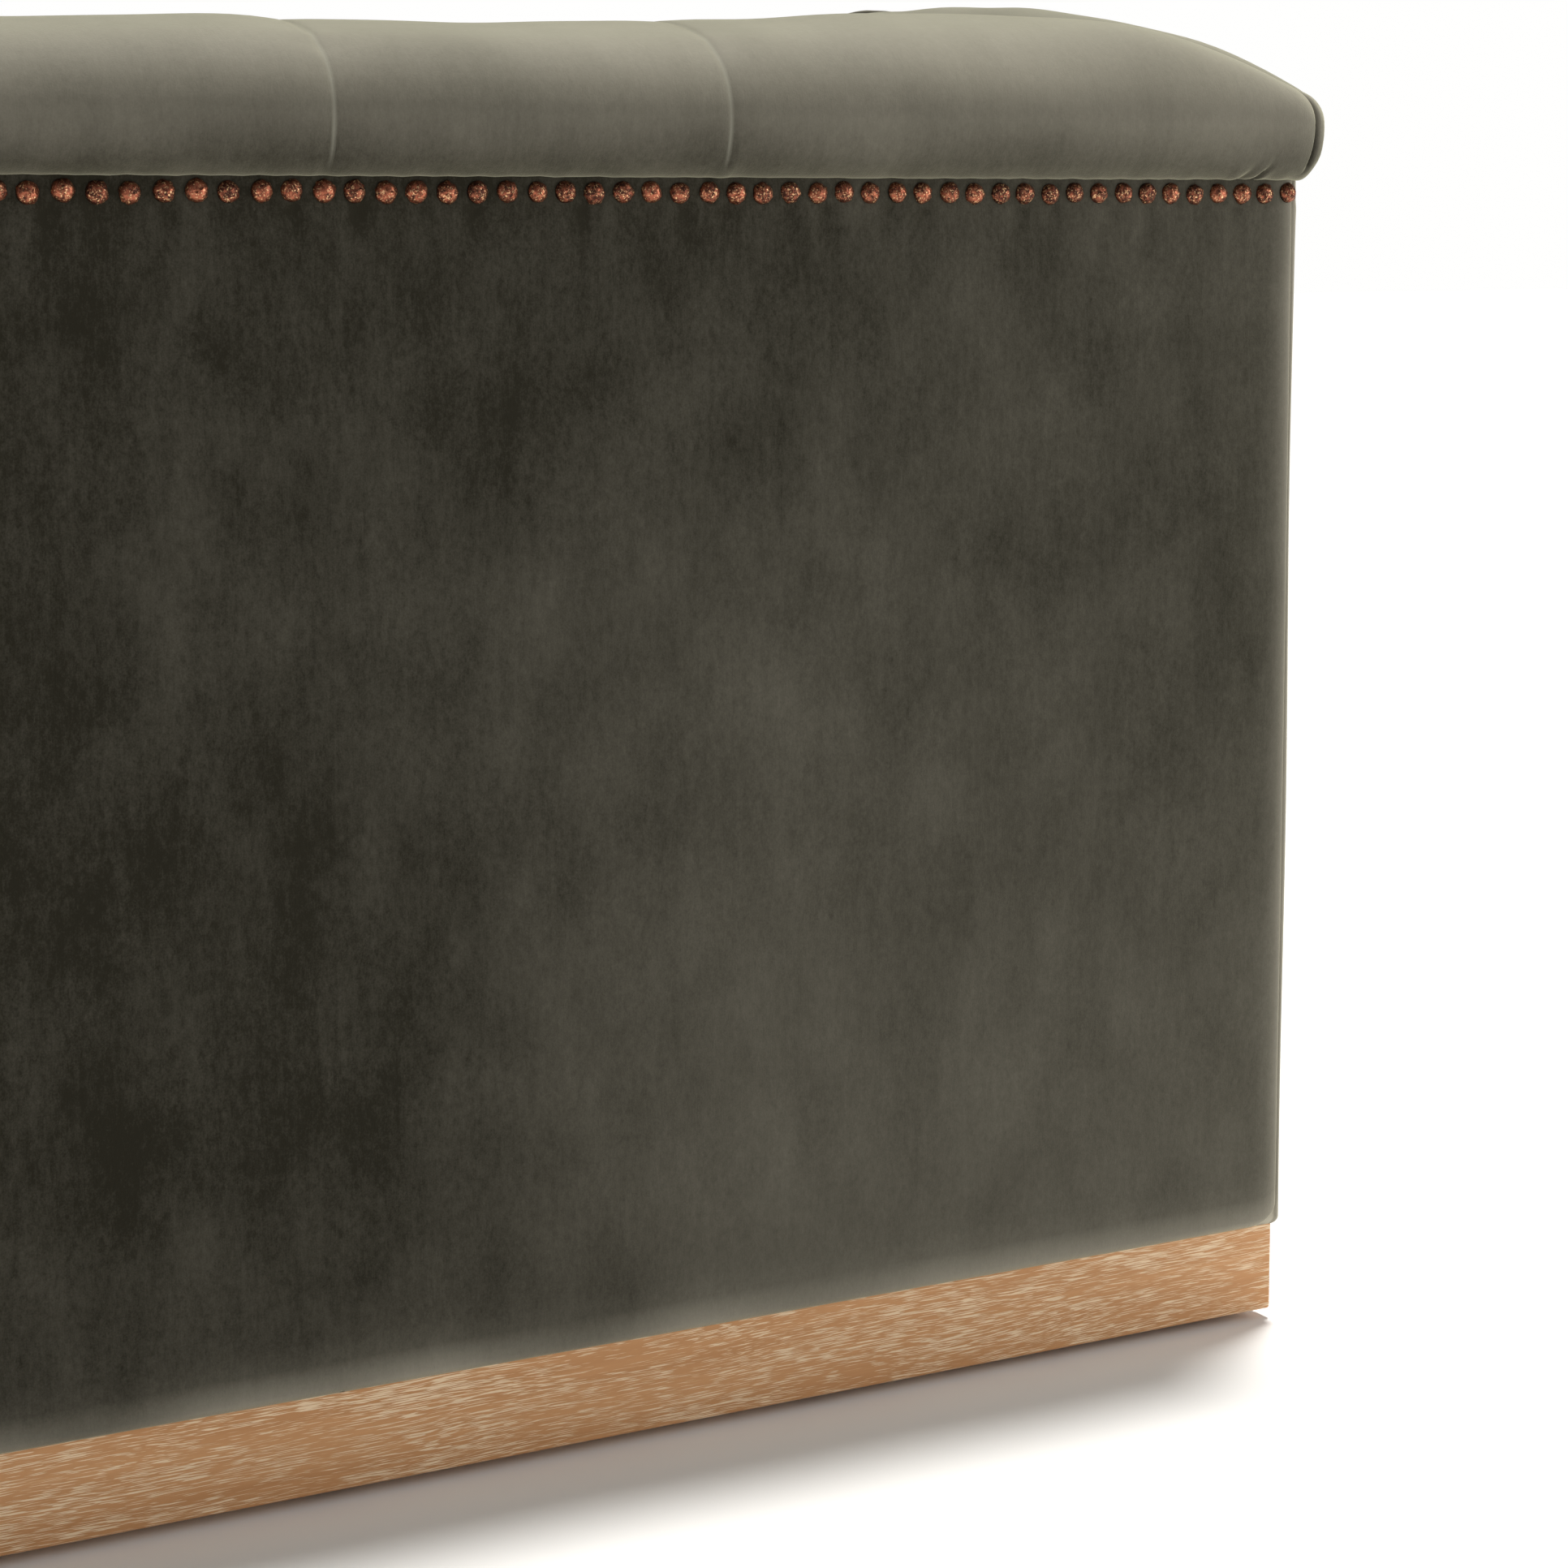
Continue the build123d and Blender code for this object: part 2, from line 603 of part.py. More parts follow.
os.makedirs("parts", exist_ok=True)
for name, solids in all_nodes().items():
    export_step(as_node(solids), os.path.join("parts", name + ".step"))
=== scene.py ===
# %% [markdown]
# # A velvet bed with a rolled, winged headboard
# The bed stands on a low timber plinth. A stuffed roll runs along the top of the headboard and down
# both wings, with a row of domed nailheads under it. The structure comes from the CAD frame; this
# lesson makes the cloth, the nails, the boards and every finish round it.

# %% Load the frame
import math

import bpy
import numpy as np
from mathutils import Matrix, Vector


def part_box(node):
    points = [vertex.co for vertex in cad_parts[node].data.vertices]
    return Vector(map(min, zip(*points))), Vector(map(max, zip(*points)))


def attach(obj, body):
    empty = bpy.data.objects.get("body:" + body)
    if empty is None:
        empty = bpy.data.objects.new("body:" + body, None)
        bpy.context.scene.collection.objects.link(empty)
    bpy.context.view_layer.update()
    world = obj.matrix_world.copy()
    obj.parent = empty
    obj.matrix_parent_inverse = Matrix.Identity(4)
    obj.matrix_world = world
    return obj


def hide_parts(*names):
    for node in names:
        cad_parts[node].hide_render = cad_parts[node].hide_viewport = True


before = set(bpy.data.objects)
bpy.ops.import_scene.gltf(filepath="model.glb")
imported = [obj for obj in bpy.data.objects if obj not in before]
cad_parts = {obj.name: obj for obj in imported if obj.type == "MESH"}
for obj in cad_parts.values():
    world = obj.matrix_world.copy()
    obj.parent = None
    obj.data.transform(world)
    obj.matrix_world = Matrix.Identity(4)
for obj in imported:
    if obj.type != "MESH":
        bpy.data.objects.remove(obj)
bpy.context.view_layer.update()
BED = "bed"

# %% [markdown]
# ## Sizes read from the frame
# Everything is placed from the CAD nodes' own boxes, in metres. The bed is the same on its left and
# its right, so one set of distances serves both sides: +X is across the bed and +Y is the head.

# %% Sizes
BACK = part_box("back_cover")[1].y                 # outside face of the headboard
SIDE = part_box("wing_outer_cover_right")[1].x     # outside face of a wing
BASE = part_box("back_cover")[0].z                 # underside of the upholstery
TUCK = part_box("back_cover")[1].z                 # where the roll is tucked in
HEAD_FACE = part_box("headboard_front_cover")[0].y
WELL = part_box("wing_inner_cover_right")[0].x
WING_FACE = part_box("wing_facing_right")[0].y
WING_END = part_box("wing_facing_right")[1].y
DECK_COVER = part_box("headboard_front_cover")[0].z
NAIL_LOW, NAIL_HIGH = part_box("nailheads_back")
NAIL_LINE = (NAIL_LOW.z + NAIL_HIGH.z) / 2
NAIL_RADIUS = (NAIL_HIGH.z - NAIL_LOW.z) / 2
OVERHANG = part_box("roll_cover_back")[1].y - BACK
WALL = SIDE - WELL
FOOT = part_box("foot_pad")[0].y
RAIL_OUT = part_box("rail_pad_right")[1].x
RAIL_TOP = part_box("rail_pad_right")[1].z
RAIL_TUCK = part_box("side_rail_right")[1].z
NAIL_PITCH = 0.0274
SEAM_PITCH = 0.365
TUFT_PITCH = 0.1825
SIDES = {"left": -1, "right": 1}
print("nail line", round(NAIL_LINE, 3), "roll overhang", round(OVERHANG, 3))

# %% [markdown]
# ## Surfaces from grids
# A piece is worked out as a whole array of points, rows by columns, and handed to the mesh in one
# call. A closed section joins its last column to its first, and each end is closed with a fan round
# one middle point. The UV map is measured in metres along the cloth, so that threads keep their size.

# %% Mesh helpers
def put(name, data):
    """An object made from its data and linked into the scene."""
    made = bpy.data.objects.new(name, data)
    bpy.context.scene.collection.objects.link(made)
    return made


def running_length(points, axis):
    """Distance walked along one axis of a grid of points, starting from nought."""
    step = np.linalg.norm(np.diff(points, axis=axis), axis=-1)
    start = np.zeros_like(np.take(step, [0], axis=axis))
    return np.concatenate([start, np.cumsum(step, axis=axis)], axis=axis)


def grid_faces(rows, cols, wrap):
    """Corner numbers of the quads of a grid: each joins a point to its next column and next row."""
    last = cols if wrap else cols - 1
    row, col = np.meshgrid(np.arange(rows - 1), np.arange(last), indexing="ij")
    right = (col + 1) % cols
    corners = [row * cols + col, row * cols + right, (row + 1) * cols + right, (row + 1) * cols + col]
    return np.stack([c.ravel() for c in corners], axis=1)


def signed_volume(points, faces):
    """Six times the volume inside the faces: positive when they point outwards."""
    a, b, c = (points[faces[:, i]] for i in range(3))
    return float(np.einsum("ij,ij->i", a, np.cross(b, c)).sum())


def new_piece(name, points, faces, material, uv=None, smooth=True, **marks):
    """A mesh from points and a list of face arrays, turned to face outwards."""
    loose = [f for f in faces if len(f)]
    triangles = np.concatenate([f[:, [0, i, i + 1]] for f in loose for i in range(1, f.shape[1] - 1)])
    if signed_volume(points, triangles) < 0:
        loose = [f[:, ::-1] for f in loose]
    corners = np.concatenate([f.ravel() for f in loose])
    counts = np.concatenate([np.full(len(f), f.shape[1]) for f in loose])
    mesh = bpy.data.meshes.new(name)
    mesh.vertices.add(len(points))
    mesh.vertices.foreach_set("co", np.asarray(points, np.float32).ravel())
    mesh.loops.add(len(corners))
    mesh.loops.foreach_set("vertex_index", corners.astype(np.int32))
    mesh.polygons.add(len(counts))
    mesh.polygons.foreach_set("loop_start", (np.cumsum(counts) - counts).astype(np.int32))
    mesh.polygons.foreach_set("use_smooth", np.full(len(counts), smooth))
    if uv is not None:
        layer = mesh.uv_layers.new(name="cloth")
        layer.data.foreach_set("uv", np.asarray(uv, np.float32)[corners].ravel())
    for mark, values in marks.items():
        attribute = mesh.attributes.new(mark, "FLOAT", "POINT")
        attribute.data.foreach_set("value", np.asarray(values, np.float32))
    mesh.update(calc_edges=True)
    mesh.validate()
    mesh.materials.append(material)
    return put(name, mesh)


def carried(name, grid, material, marks=None):
    """A closed section carried along a path: grid is rows along the path by columns round it."""
    rows, cols = grid.shape[:2]
    ends = grid[[0, -1]].mean(axis=1)
    points = np.concatenate([grid.reshape(-1, 3), ends])
    quads = grid_faces(rows, cols, wrap=True)
    ring = np.arange(cols)
    first = np.stack([np.roll(ring, -1), ring, np.full(cols, rows * cols)], axis=1)
    last = (rows - 1) * cols + np.stack([ring, np.roll(ring, -1), np.full(cols, cols + 1)], axis=1)
    around = running_length(grid, 1)
    along = running_length(grid, 0).max(axis=1)[:, None] + 0 * around
    uv = np.concatenate([np.stack([along, around], -1).reshape(-1, 2), np.zeros((2, 2))])
    marks = {key: np.append(value.ravel(), [0.0, 0.0]) for key, value in (marks or {}).items()}
    return new_piece(name, points, [quads, first, last], material, uv, **marks)


def settle(piece, *nodes, slot=None, fill=None):
    """The piece rides on the bed and stands for its CAD nodes; fill, how it is stuffed, is not used."""
    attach(piece, BED)
    if nodes:
        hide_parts(*nodes)
    print(f"{piece.name}: {len(piece.data.polygons)} faces")
    return piece


def smoothstep(low, high, value):
    """Nought below low, one above high, and a smooth climb between them."""
    t = np.clip((value - low) / (high - low), 0, 1)
    return t * t * (3 - 2 * t)


def bell(value, width):
    """One at nought and falling away either side: e to the minus (value / width) squared."""
    return np.exp(-((value / width) ** 2))


def fade(value, length):
    """One up to nought, then dying away: e to the minus value / length."""
    return np.exp(-np.maximum(value, 0) / length)


def bump_at(value, places, width):
    """A bell at each of the places; nought everywhere when there are no places."""
    gap = np.abs(np.asarray(value)[..., None] - places).min(axis=-1, initial=np.inf)
    return bell(gap, width)


def unit(arrows):
    """Directions brought to length one."""
    return arrows / np.maximum(np.linalg.norm(arrows, axis=-1, keepdims=True), 1e-9)


def mirrored(points, sign=-1):
    """Points carried over to the bed's other side when sign is minus one."""
    return points * np.array([sign, 1, 1])


def waves(a, b, seed, pitch):
    """A slow, uneven swell between about minus one and one: five sine waves in seeded directions."""
    rng = np.random.default_rng(seed)
    total = 0 * (a + b)
    for share in (1.0, 0.8, 0.6, 0.5, 0.4):
        angle, phase = rng.uniform(0, 2 * np.pi, 2)
        reach = 2 * np.pi / (pitch * rng.uniform(0.6, 1.6))
        total = total + share * np.sin(reach * (a * np.cos(angle) + b * np.sin(angle)) + phase)
    return total / 2.2

# %% [markdown]
# ## Node helpers
# A material is a small graph. These helpers add a node with its settings, join sockets, and start a
# shader group with named inputs and outputs, so that each finish below reads as a short recipe.

# %% Node helpers
def feed(tree, socket, value):
    """A value set on an input socket, or a link to it when the value is itself a socket."""
    if isinstance(value, bpy.types.NodeSocket):
        tree.links.new(value, socket)
    else:
        socket.default_value = value


def add(tree, kind, settings=None, **values):
    """A node of a kind with its settings. The values feed its inputs, by name with an underscore
    for each space, or by place as at0, at1 and so on."""
    node = tree.nodes.new(kind)
    for key, value in (settings or {}).items():
        setattr(node, key, value)
    for key, value in values.items():
        feed(tree, node.inputs[int(key[2:]) if key.startswith("at") else key.replace("_", " ")], value)
    return node


def reckon(tree, operation, a, b):
    """One step of arithmetic on two numbers."""
    return add(tree, "ShaderNodeMath", {"operation": operation}, at0=a, at1=b).outputs[0]


def plus(tree, a, b):
    """a + b"""
    return reckon(tree, "ADD", a, b)


def minus(tree, a, b):
    """a - b"""
    return reckon(tree, "SUBTRACT", a, b)


def times(tree, a, b):
    """a x b"""
    return reckon(tree, "MULTIPLY", a, b)


def vectors(tree, operation, a, **values):
    """One step of arithmetic on a vector."""
    return add(tree, "ShaderNodeVectorMath", {"operation": operation}, at0=a, **values).outputs[0]


def mix_colour(tree, factor, a, b):
    """Colour a where the factor is nought, colour b where it is one."""
    return add(tree, "ShaderNodeMix", {"data_type": "RGBA"}, at0=factor, at6=a, at7=b).outputs[2]


def noise(tree, where, scale, detail=2.0, roughness=0.5):
    """Noise from nought to one. scale is one number, or three that squeeze it along each axis."""
    if isinstance(scale, tuple):
        where, scale = vectors(tree, "MULTIPLY", where, at1=scale), 1.0
    node = add(tree, "ShaderNodeTexNoise", Vector=where, Scale=scale, Detail=detail, Roughness=roughness)
    return node.outputs["Fac"]


def between(tree, value, low, high):
    """A value stretched so that low becomes nought and high becomes one."""
    node = add(tree, "ShaderNodeMapRange", {"clamp": True}, Value=value, From_Min=low, From_Max=high)
    return node.outputs["Result"]


def new_group(name, **inputs):
    """A shader group. An input whose default is a tuple is a colour and any other is a number;
    every group gives out a colour, a roughness and a height."""
    tree = bpy.data.node_groups.new(name, "ShaderNodeTree")
    for label, default in inputs.items():
        kind = "NodeSocketColor" if isinstance(default, tuple) else "NodeSocketFloat"
        socket = tree.interface.new_socket(label.replace("_", " "), in_out="INPUT", socket_type=kind)
        socket.default_value = default
    for label, kind in (("Colour", "Color"), ("Roughness", "Float"), ("Height", "Float")):
        tree.interface.new_socket(label, in_out="OUTPUT", socket_type="NodeSocket" + kind)
    spot = add(tree, "ShaderNodeTexCoord").outputs
    return tree, tree.nodes.new("NodeGroupInput").outputs, tree.nodes.new("NodeGroupOutput").inputs, spot


def mark_of(tree, name):
    """A number kept on the mesh under a name."""
    return add(tree, "ShaderNodeAttribute", {"attribute_name": name}).outputs["Fac"]


def new_material(name):
    """A material with its Principled shader, ready for links."""
    material = bpy.data.materials.new(name)
    material.use_nodes = True
    tree = material.node_tree
    return material, tree, tree.nodes["Principled BSDF"].inputs


def relief(tree, shader, height, distance, strength=0.5):
    """Height in a bump node that feeds the shader's normal."""
    bump = add(tree, "ShaderNodeBump", Height=height, Distance=distance, Strength=strength)
    tree.links.new(bump.outputs["Normal"], shader["Normal"])


def wear(tree, shader, group, distance, strength=0.5, **values):
    """A group placed in a material with its own values, and its three results on the shader."""
    finish = add(tree, "ShaderNodeGroup", {"node_tree": group}, **values).outputs
    tree.links.new(finish["Colour"], shader["Base Color"])
    tree.links.new(finish["Roughness"], shader["Roughness"])
    relief(tree, shader, finish["Height"], distance, strength)

# %% [markdown]
# ## Velvet
# Velvet is a short, dense pile. Where the pile leans one way it looks dark, where a hand has brushed
# it the other way it looks pale, and at a grazing angle every tip catches the light. The cloudy
# brushing is slow noise on object coordinates, the fine threads are noise drawn out along the cloth's
# own UV map, and the pale edge at a grazing angle is the shader's sheen. The lift mark on each mesh adds
# painted light and shade to that brushing, lighter on tops and rims and darker in creases, and the
# seam mark lays a painted highlight along the seams.

# %% Velvet nap group, with the painted light and shade of the lift mark
nap, nap_in, nap_out, spot = new_group(
    "velvet_nap_and_painted_light", Brushed_down=(0.02, 0.02, 0.016, 1), Brushed_up=(0.09, 0.085, 0.07, 1),
    Edge=(0.2, 0.2, 0.17, 1), Edge_mask=0.0, Lift=0.0)
clouds = noise(nap, spot["Object"], 2.1, 3.0, 0.55)
hands = noise(nap, spot["Object"], (13.0, 13.0, 8.0), 5.0, 0.62)
strokes = noise(nap, spot["UV"], (95.0, 11.0, 1.0), 3.0, 0.6)
threads = noise(nap, spot["UV"], (700.0, 90.0, 1.0), 2.0, 0.6)
mottle = noise(nap, spot["Object"], (190.0, 190.0, 120.0), 4.0, 0.75)
pile = noise(nap, spot["Object"], 620.0, 3.0, 0.7)
parts = ((clouds, 0.30, 0.70, 0.30), (hands, 0.30, 0.72, 0.30), (strokes, 0.30, 0.70, 0.10),
         (threads, 0.25, 0.75, 0.09), (mottle, 0.30, 0.70, 0.22), (pile, 0.25, 0.75, 0.22))
# the Lift input is the mesh's lift mark: the pile's brushing together with painted light and shade
lean_and_light = nap_in["Lift"]
for part, low, high, share in parts:
    lean_and_light = plus(nap, lean_and_light, times(nap, between(nap, part, low, high), share))
lean_and_light = reckon(nap, "MAXIMUM", lean_and_light, 0.0)
step = vectors(nap, "SUBTRACT", nap_in["Brushed up"], at1=nap_in["Brushed down"])
brushed_and_lit = vectors(nap, "ADD", nap_in["Brushed down"], at1=vectors(nap, "SCALE", step, Scale=lean_and_light))
# painted highlight: the seam mark mixes in the pale edge tone along each seam
nap.links.new(mix_colour(nap, nap_in["Edge mask"], brushed_and_lit, nap_in["Edge"]), nap_out["Colour"])
nap.links.new(minus(nap, 0.92, times(nap, lean_and_light, 0.12)), nap_out["Roughness"])
nap.links.new(plus(nap, times(nap, threads, 0.35), times(nap, pile, 0.65)), nap_out["Height"])
print("velvet group:", len(nap.nodes), "nodes")


# %% Velvet material
def velvet(name, down, up, edge):
    """Velvet in its own three tones. The mesh's lift mark moves it between the dark and the pale tone, for
    the pile's brushing and for painted light and shade; its seam mark lays the edge tone as a painted
    highlight.
    """
    material, tree, shader = new_material(name)
    wear(tree, shader, nap, 0.0007, Brushed_down=down, Brushed_up=up, Edge=edge,
         Edge_mask=mark_of(tree, "seam"), Lift=mark_of(tree, "lift"))
    shader["Specular IOR Level"].default_value = 0.12
    shader["Sheen Weight"].default_value = 0.75
    shader["Sheen Roughness"].default_value = 0.42
    shader["Sheen Tint"].default_value = (0.93, 0.91, 0.66, 1)
    return material


# tones: dark pile, pale pile, and the pale edge tone painted as a highlight along seams; the lift mark's
# painted light and shade move between the first two
VELVET = velvet("olive_velvet", (0.0125, 0.0108, 0.0062, 1), (0.112, 0.104, 0.082, 1), (0.30, 0.295, 0.24, 1))

# %% [markdown]
# ## Antique copper
# The nailheads are pressed copper, darkened by age. The rubbed high spots stay red, a few flecks have
# gone to gold, and the hollows hold dark brown. Two noises at different scales pick which is which.

# %% Copper material
patina, patina_in, patina_out, spot = new_group(
    "copper_patina_and_rim_shade", Rubbed=(0.5, 0.2, 0.1, 1), Fleck=(0.6, 0.4, 0.2, 1), Dark=(0.02, 0.01, 0.01, 1),
    Tone=0.5, Rim=0.0)
blotch = noise(patina, spot["Object"], 250.0, 4.0, 0.68)
fleck = noise(patina, spot["Object"], 560.0, 3.0, 0.65)
worn = between(patina, plus(patina, blotch, times(patina, patina_in["Tone"], 0.05)), 0.40, 0.62)
colour = mix_colour(patina, worn, patina_in["Dark"], patina_in["Rubbed"])
colour = mix_colour(patina, between(patina, fleck, 0.56, 0.66), colour, patina_in["Fleck"])
# painted shade: the rim mark darkens the foot of each dome, where it meets the cloth
colour = mix_colour(patina, patina_in["Rim"], colour, patina_in["Dark"])
patina.links.new(colour, patina_out["Colour"])
patina.links.new(minus(patina, 0.52, times(patina, worn, 0.24)), patina_out["Roughness"])
patina.links.new(plus(patina, blotch, times(patina, fleck, 0.5)), patina_out["Height"])


def aged_copper(name):
    """Copper with its patina; each nail's own tone and the painted shade round its foot come from marks on
    the mesh.
    """
    material, tree, shader = new_material(name)
    wear(tree, shader, patina, 0.0008, 0.6, Rubbed=(0.36, 0.112, 0.062, 1), Fleck=(0.92, 0.58, 0.31, 1),
         Dark=(0.055, 0.020, 0.014, 1), Tone=mark_of(tree, "tone"), Rim=mark_of(tree, "rim"))
    shader["Metallic"].default_value = 0.9
    return material


COPPER = aged_copper("antique_copper")

# %% [markdown]
# ## Timber
# One group serves every board. It turns the coordinates so that the grain runs along the board, draws
# slow bands of early and late wood, and then the open pores: short dashes along the grain. On the
# plinth the pores are filled with pale wax, which is what makes cerused timber; on the frame they
# are a little darker than the wood.

# %% Timber group and materials
timber, timber_in, timber_out, spot = new_group(
    "timber_grain", Light_wood=(0.6, 0.4, 0.2, 1), Dark_wood=(0.4, 0.2, 0.1, 1), Pore=(0.8, 0.6, 0.4, 1),
    Pore_amount=0.5, Turn=0.0, Roughness=0.6)
turned = add(timber, "ShaderNodeVectorRotate", {"rotation_type": "Z_AXIS"}, Vector=spot["Object"],
             Angle=timber_in["Turn"]).outputs[0]
sway = noise(timber, turned, (2.2, 9.0, 9.0))
push = add(timber, "ShaderNodeCombineXYZ", Y=times(timber, sway, 0.018), Z=times(timber, sway, 0.024))
along = vectors(timber, "ADD", turned, at1=push.outputs[0])
bands = noise(timber, along, (1.6, 62.0, 62.0), 3.0, 0.6)
fibres = noise(timber, along, (14.0, 800.0, 800.0), 2.0, 0.6)
dashes = noise(timber, along, (40.0, 1350.0, 1350.0), 1.5, 0.45)
crowd = noise(timber, along, (7.0, 36.0, 36.0), 2.0, 0.6)
wood = mix_colour(timber, between(timber, bands, 0.32, 0.68), timber_in["Dark wood"], timber_in["Light wood"])
wood = mix_colour(timber, times(timber, fibres, 0.45), wood, timber_in["Dark wood"])
open_pore = between(timber, plus(timber, dashes, times(timber, crowd, 0.34)), 0.71, 0.77)
pores = times(timber, open_pore, timber_in["Pore amount"])
timber.links.new(mix_colour(timber, pores, wood, timber_in["Pore"]), timber_out["Colour"])
timber.links.new(plus(timber, timber_in["Roughness"], times(timber, pores, 0.15)), timber_out["Roughness"])
timber.links.new(minus(timber, times(timber, bands, 0.4), pores), timber_out["Height"])


def timber_material(name, light, dark, pore, amount, turn=0.0):
    """Timber with its grain along X, or along Y when it is turned a quarter."""
    material, tree, shader = new_material(name)
    wear(tree, shader, timber, 0.0005, Light_wood=light, Dark_wood=dark, Pore=pore, Pore_amount=amount,
         Turn=turn, Roughness=0.55)
    shader["Specular IOR Level"].default_value = 0.3
    return material


QUARTER = math.pi / 2
CERUSED = ((0.66, 0.350, 0.158, 1), (0.53, 0.262, 0.108, 1), (0.92, 0.73, 0.50, 1), 0.85)
PINE = ((0.66, 0.46, 0.27, 1), (0.50, 0.31, 0.16, 1), (0.36, 0.21, 0.10, 1), 0.35)
BIRCH = ((0.70, 0.52, 0.33, 1), (0.58, 0.40, 0.23, 1), (0.4, 0.25, 0.13, 1), 0.2)
OAK_ACROSS = timber_material("cerused_oak_across", *CERUSED)
OAK_ALONG = timber_material("cerused_oak_along", *CERUSED, turn=QUARTER)
PINE_ACROSS = timber_material("pine_across", *PINE)
PINE_ALONG = timber_material("pine_along", *PINE, turn=QUARTER)
PLY = timber_material("birch_plywood", *BIRCH)


# %% Plain finishes for the hidden and small pieces
def speckled(name, light, dark, scale, roughness, metallic=0.0):
    """A finish with a fine, uneven grain between two close tones."""
    material, tree, shader = new_material(name)
    where = add(tree, "ShaderNodeTexCoord").outputs["Object"]
    grit = noise(tree, where, scale, 3.0, 0.6)
    tree.links.new(mix_colour(tree, grit, dark, light), shader["Base Color"])
    tree.links.new(plus(tree, times(tree, grit, 0.2), roughness - 0.1), shader["Roughness"])
    shader["Metallic"].default_value = metallic
    relief(tree, shader, grit, 0.0002)
    return material


ZINC = speckled("zinc_plated_steel", (0.62, 0.63, 0.64, 1), (0.42, 0.43, 0.45, 1), 240.0, 0.38, 1.0)
NYLON = speckled("black_nylon", (0.02, 0.02, 0.02, 1), (0.008, 0.008, 0.008, 1), 500.0, 0.55)
HARDBOARD = speckled("hardboard", (0.23, 0.13, 0.07, 1), (0.14, 0.08, 0.04, 1), 300.0, 0.8)

# %% [markdown]
# ## The line round the headboard
# The roll, the outside covers and the nails all follow the same line in plan: along the back, round
# the corner, and forward along the wing. One function gives that line at any depth behind the cover
# faces and with any corner radius, so that two covers that meet at a corner share its middle.

# %% Corner line
def corner_half(radius):
    """Length of the eighth of a turn from the end of a straight run to the corner's middle."""
    return radius * math.pi / 4


def round_corner(reach, depth, radius, side=SIDE, back=BACK):
    """Plan position at a distance from the corner's middle: positive along the back, negative along
    the wing. The corner is a quarter circle, and the rest of each run is straight."""
    safe = np.maximum(radius, 1e-6)
    turn = np.clip(reach / safe, -math.pi / 4, math.pi / 4)
    rest = reach - turn * safe
    angle = math.pi / 4 + turn
    x = side - depth - safe + safe * np.cos(angle) - np.maximum(rest, 0)
    y = back - depth - safe + safe * np.sin(angle) - np.maximum(-rest, 0)
    return x, y


def stations(length, step, fine_places=(), fine=(0.003, 0.007, 0.013)):
    """Places from nought to a length, evenly spaced, with more of them each side of a seam."""
    even = np.linspace(0, length, max(2, int(round(length / step)) + 1))
    extra = [p + s * g for p in fine_places for g in (0.0, *fine) for s in (-1, 1)]
    every = np.unique(np.round(np.append(even, extra), 4))
    every = every[(every >= 0) & (every <= length)]
    keep = np.append(True, np.diff(every) > 0.0015)
    return every[keep]

# %% [markdown]
# ## The roll
# The roll is foam on a timber former, covered in sewn lengths of velvet. Its section is four quarter
# ellipses: out from the tuck to the waist, up to the crown, down the inside and back to the wall. The
# stuffing is fuller near the corners and slumps at the mitre. The cloth is then blown up by a short
# cloth simulation, held at the tuck and at the seams, which gives each length its own swell.

# %% Roll section and its carried surface
WAIST = 0.062                   # the roll's widest level, above the nail line
CROWN_DEPTH = 0.115
INNER_OUT = 0.008               # how far the roll stands out past the inside covers
CORNER_RADIUS = 0.059
TUCK_RADIUS = 0.009
FLAT_RUN = 0.78                 # straight stations of the back roll, before they fan to the mitre


def roll_section(around):
    """(depth, height share, part) for a number from nought to five round the section: tuck to waist,
    waist to crown, crown to inside waist, inside waist to inside foot, and the flat underside."""
    part = np.clip(np.floor(around), 0, 4)
    t = (around - part) * np.pi / 2
    up = TUCK - NAIL_LINE
    foot = WALL - 0.004
    inner = WALL + INNER_OUT
    parts = [part == n for n in range(4)]
    depth = np.select(parts, [-OVERHANG * np.sin(t), -OVERHANG + (CROWN_DEPTH + OVERHANG) * (1 - np.cos(t)),
                              CROWN_DEPTH + (inner - CROWN_DEPTH) * np.sin(t),
                              foot + (inner - foot) * np.cos(t)], foot * (1 - t / (np.pi / 2)))
    waist = WAIST + 0 * t
    level = np.select(parts, [WAIST - (WAIST - up) * np.cos(t), waist, waist,
                              up + (WAIST - up) * (1 - np.sin(t))], up + 0 * t)
    lift = np.select(parts[1:3], [np.sin(t) ** 0.72, np.maximum(np.cos(t), 0) ** 0.8], 0.0)
    return depth, level, lift


def crown_height(from_corner, on_wing):
    """Height of the crown above the nail line: lowest in the middle of the back, fuller near the
    corner, highest along the wing, and slumped at the corner itself."""
    plain = 0.131 + 0.038 * bell(from_corner, 0.62)
    wing = 0.169 + 0.029 * smoothstep(0.0, 0.40, from_corner)
    slump = 0.053 * np.exp(-((from_corner / 0.067) ** 1.5))
    return np.where(on_wing, wing, plain) - slump


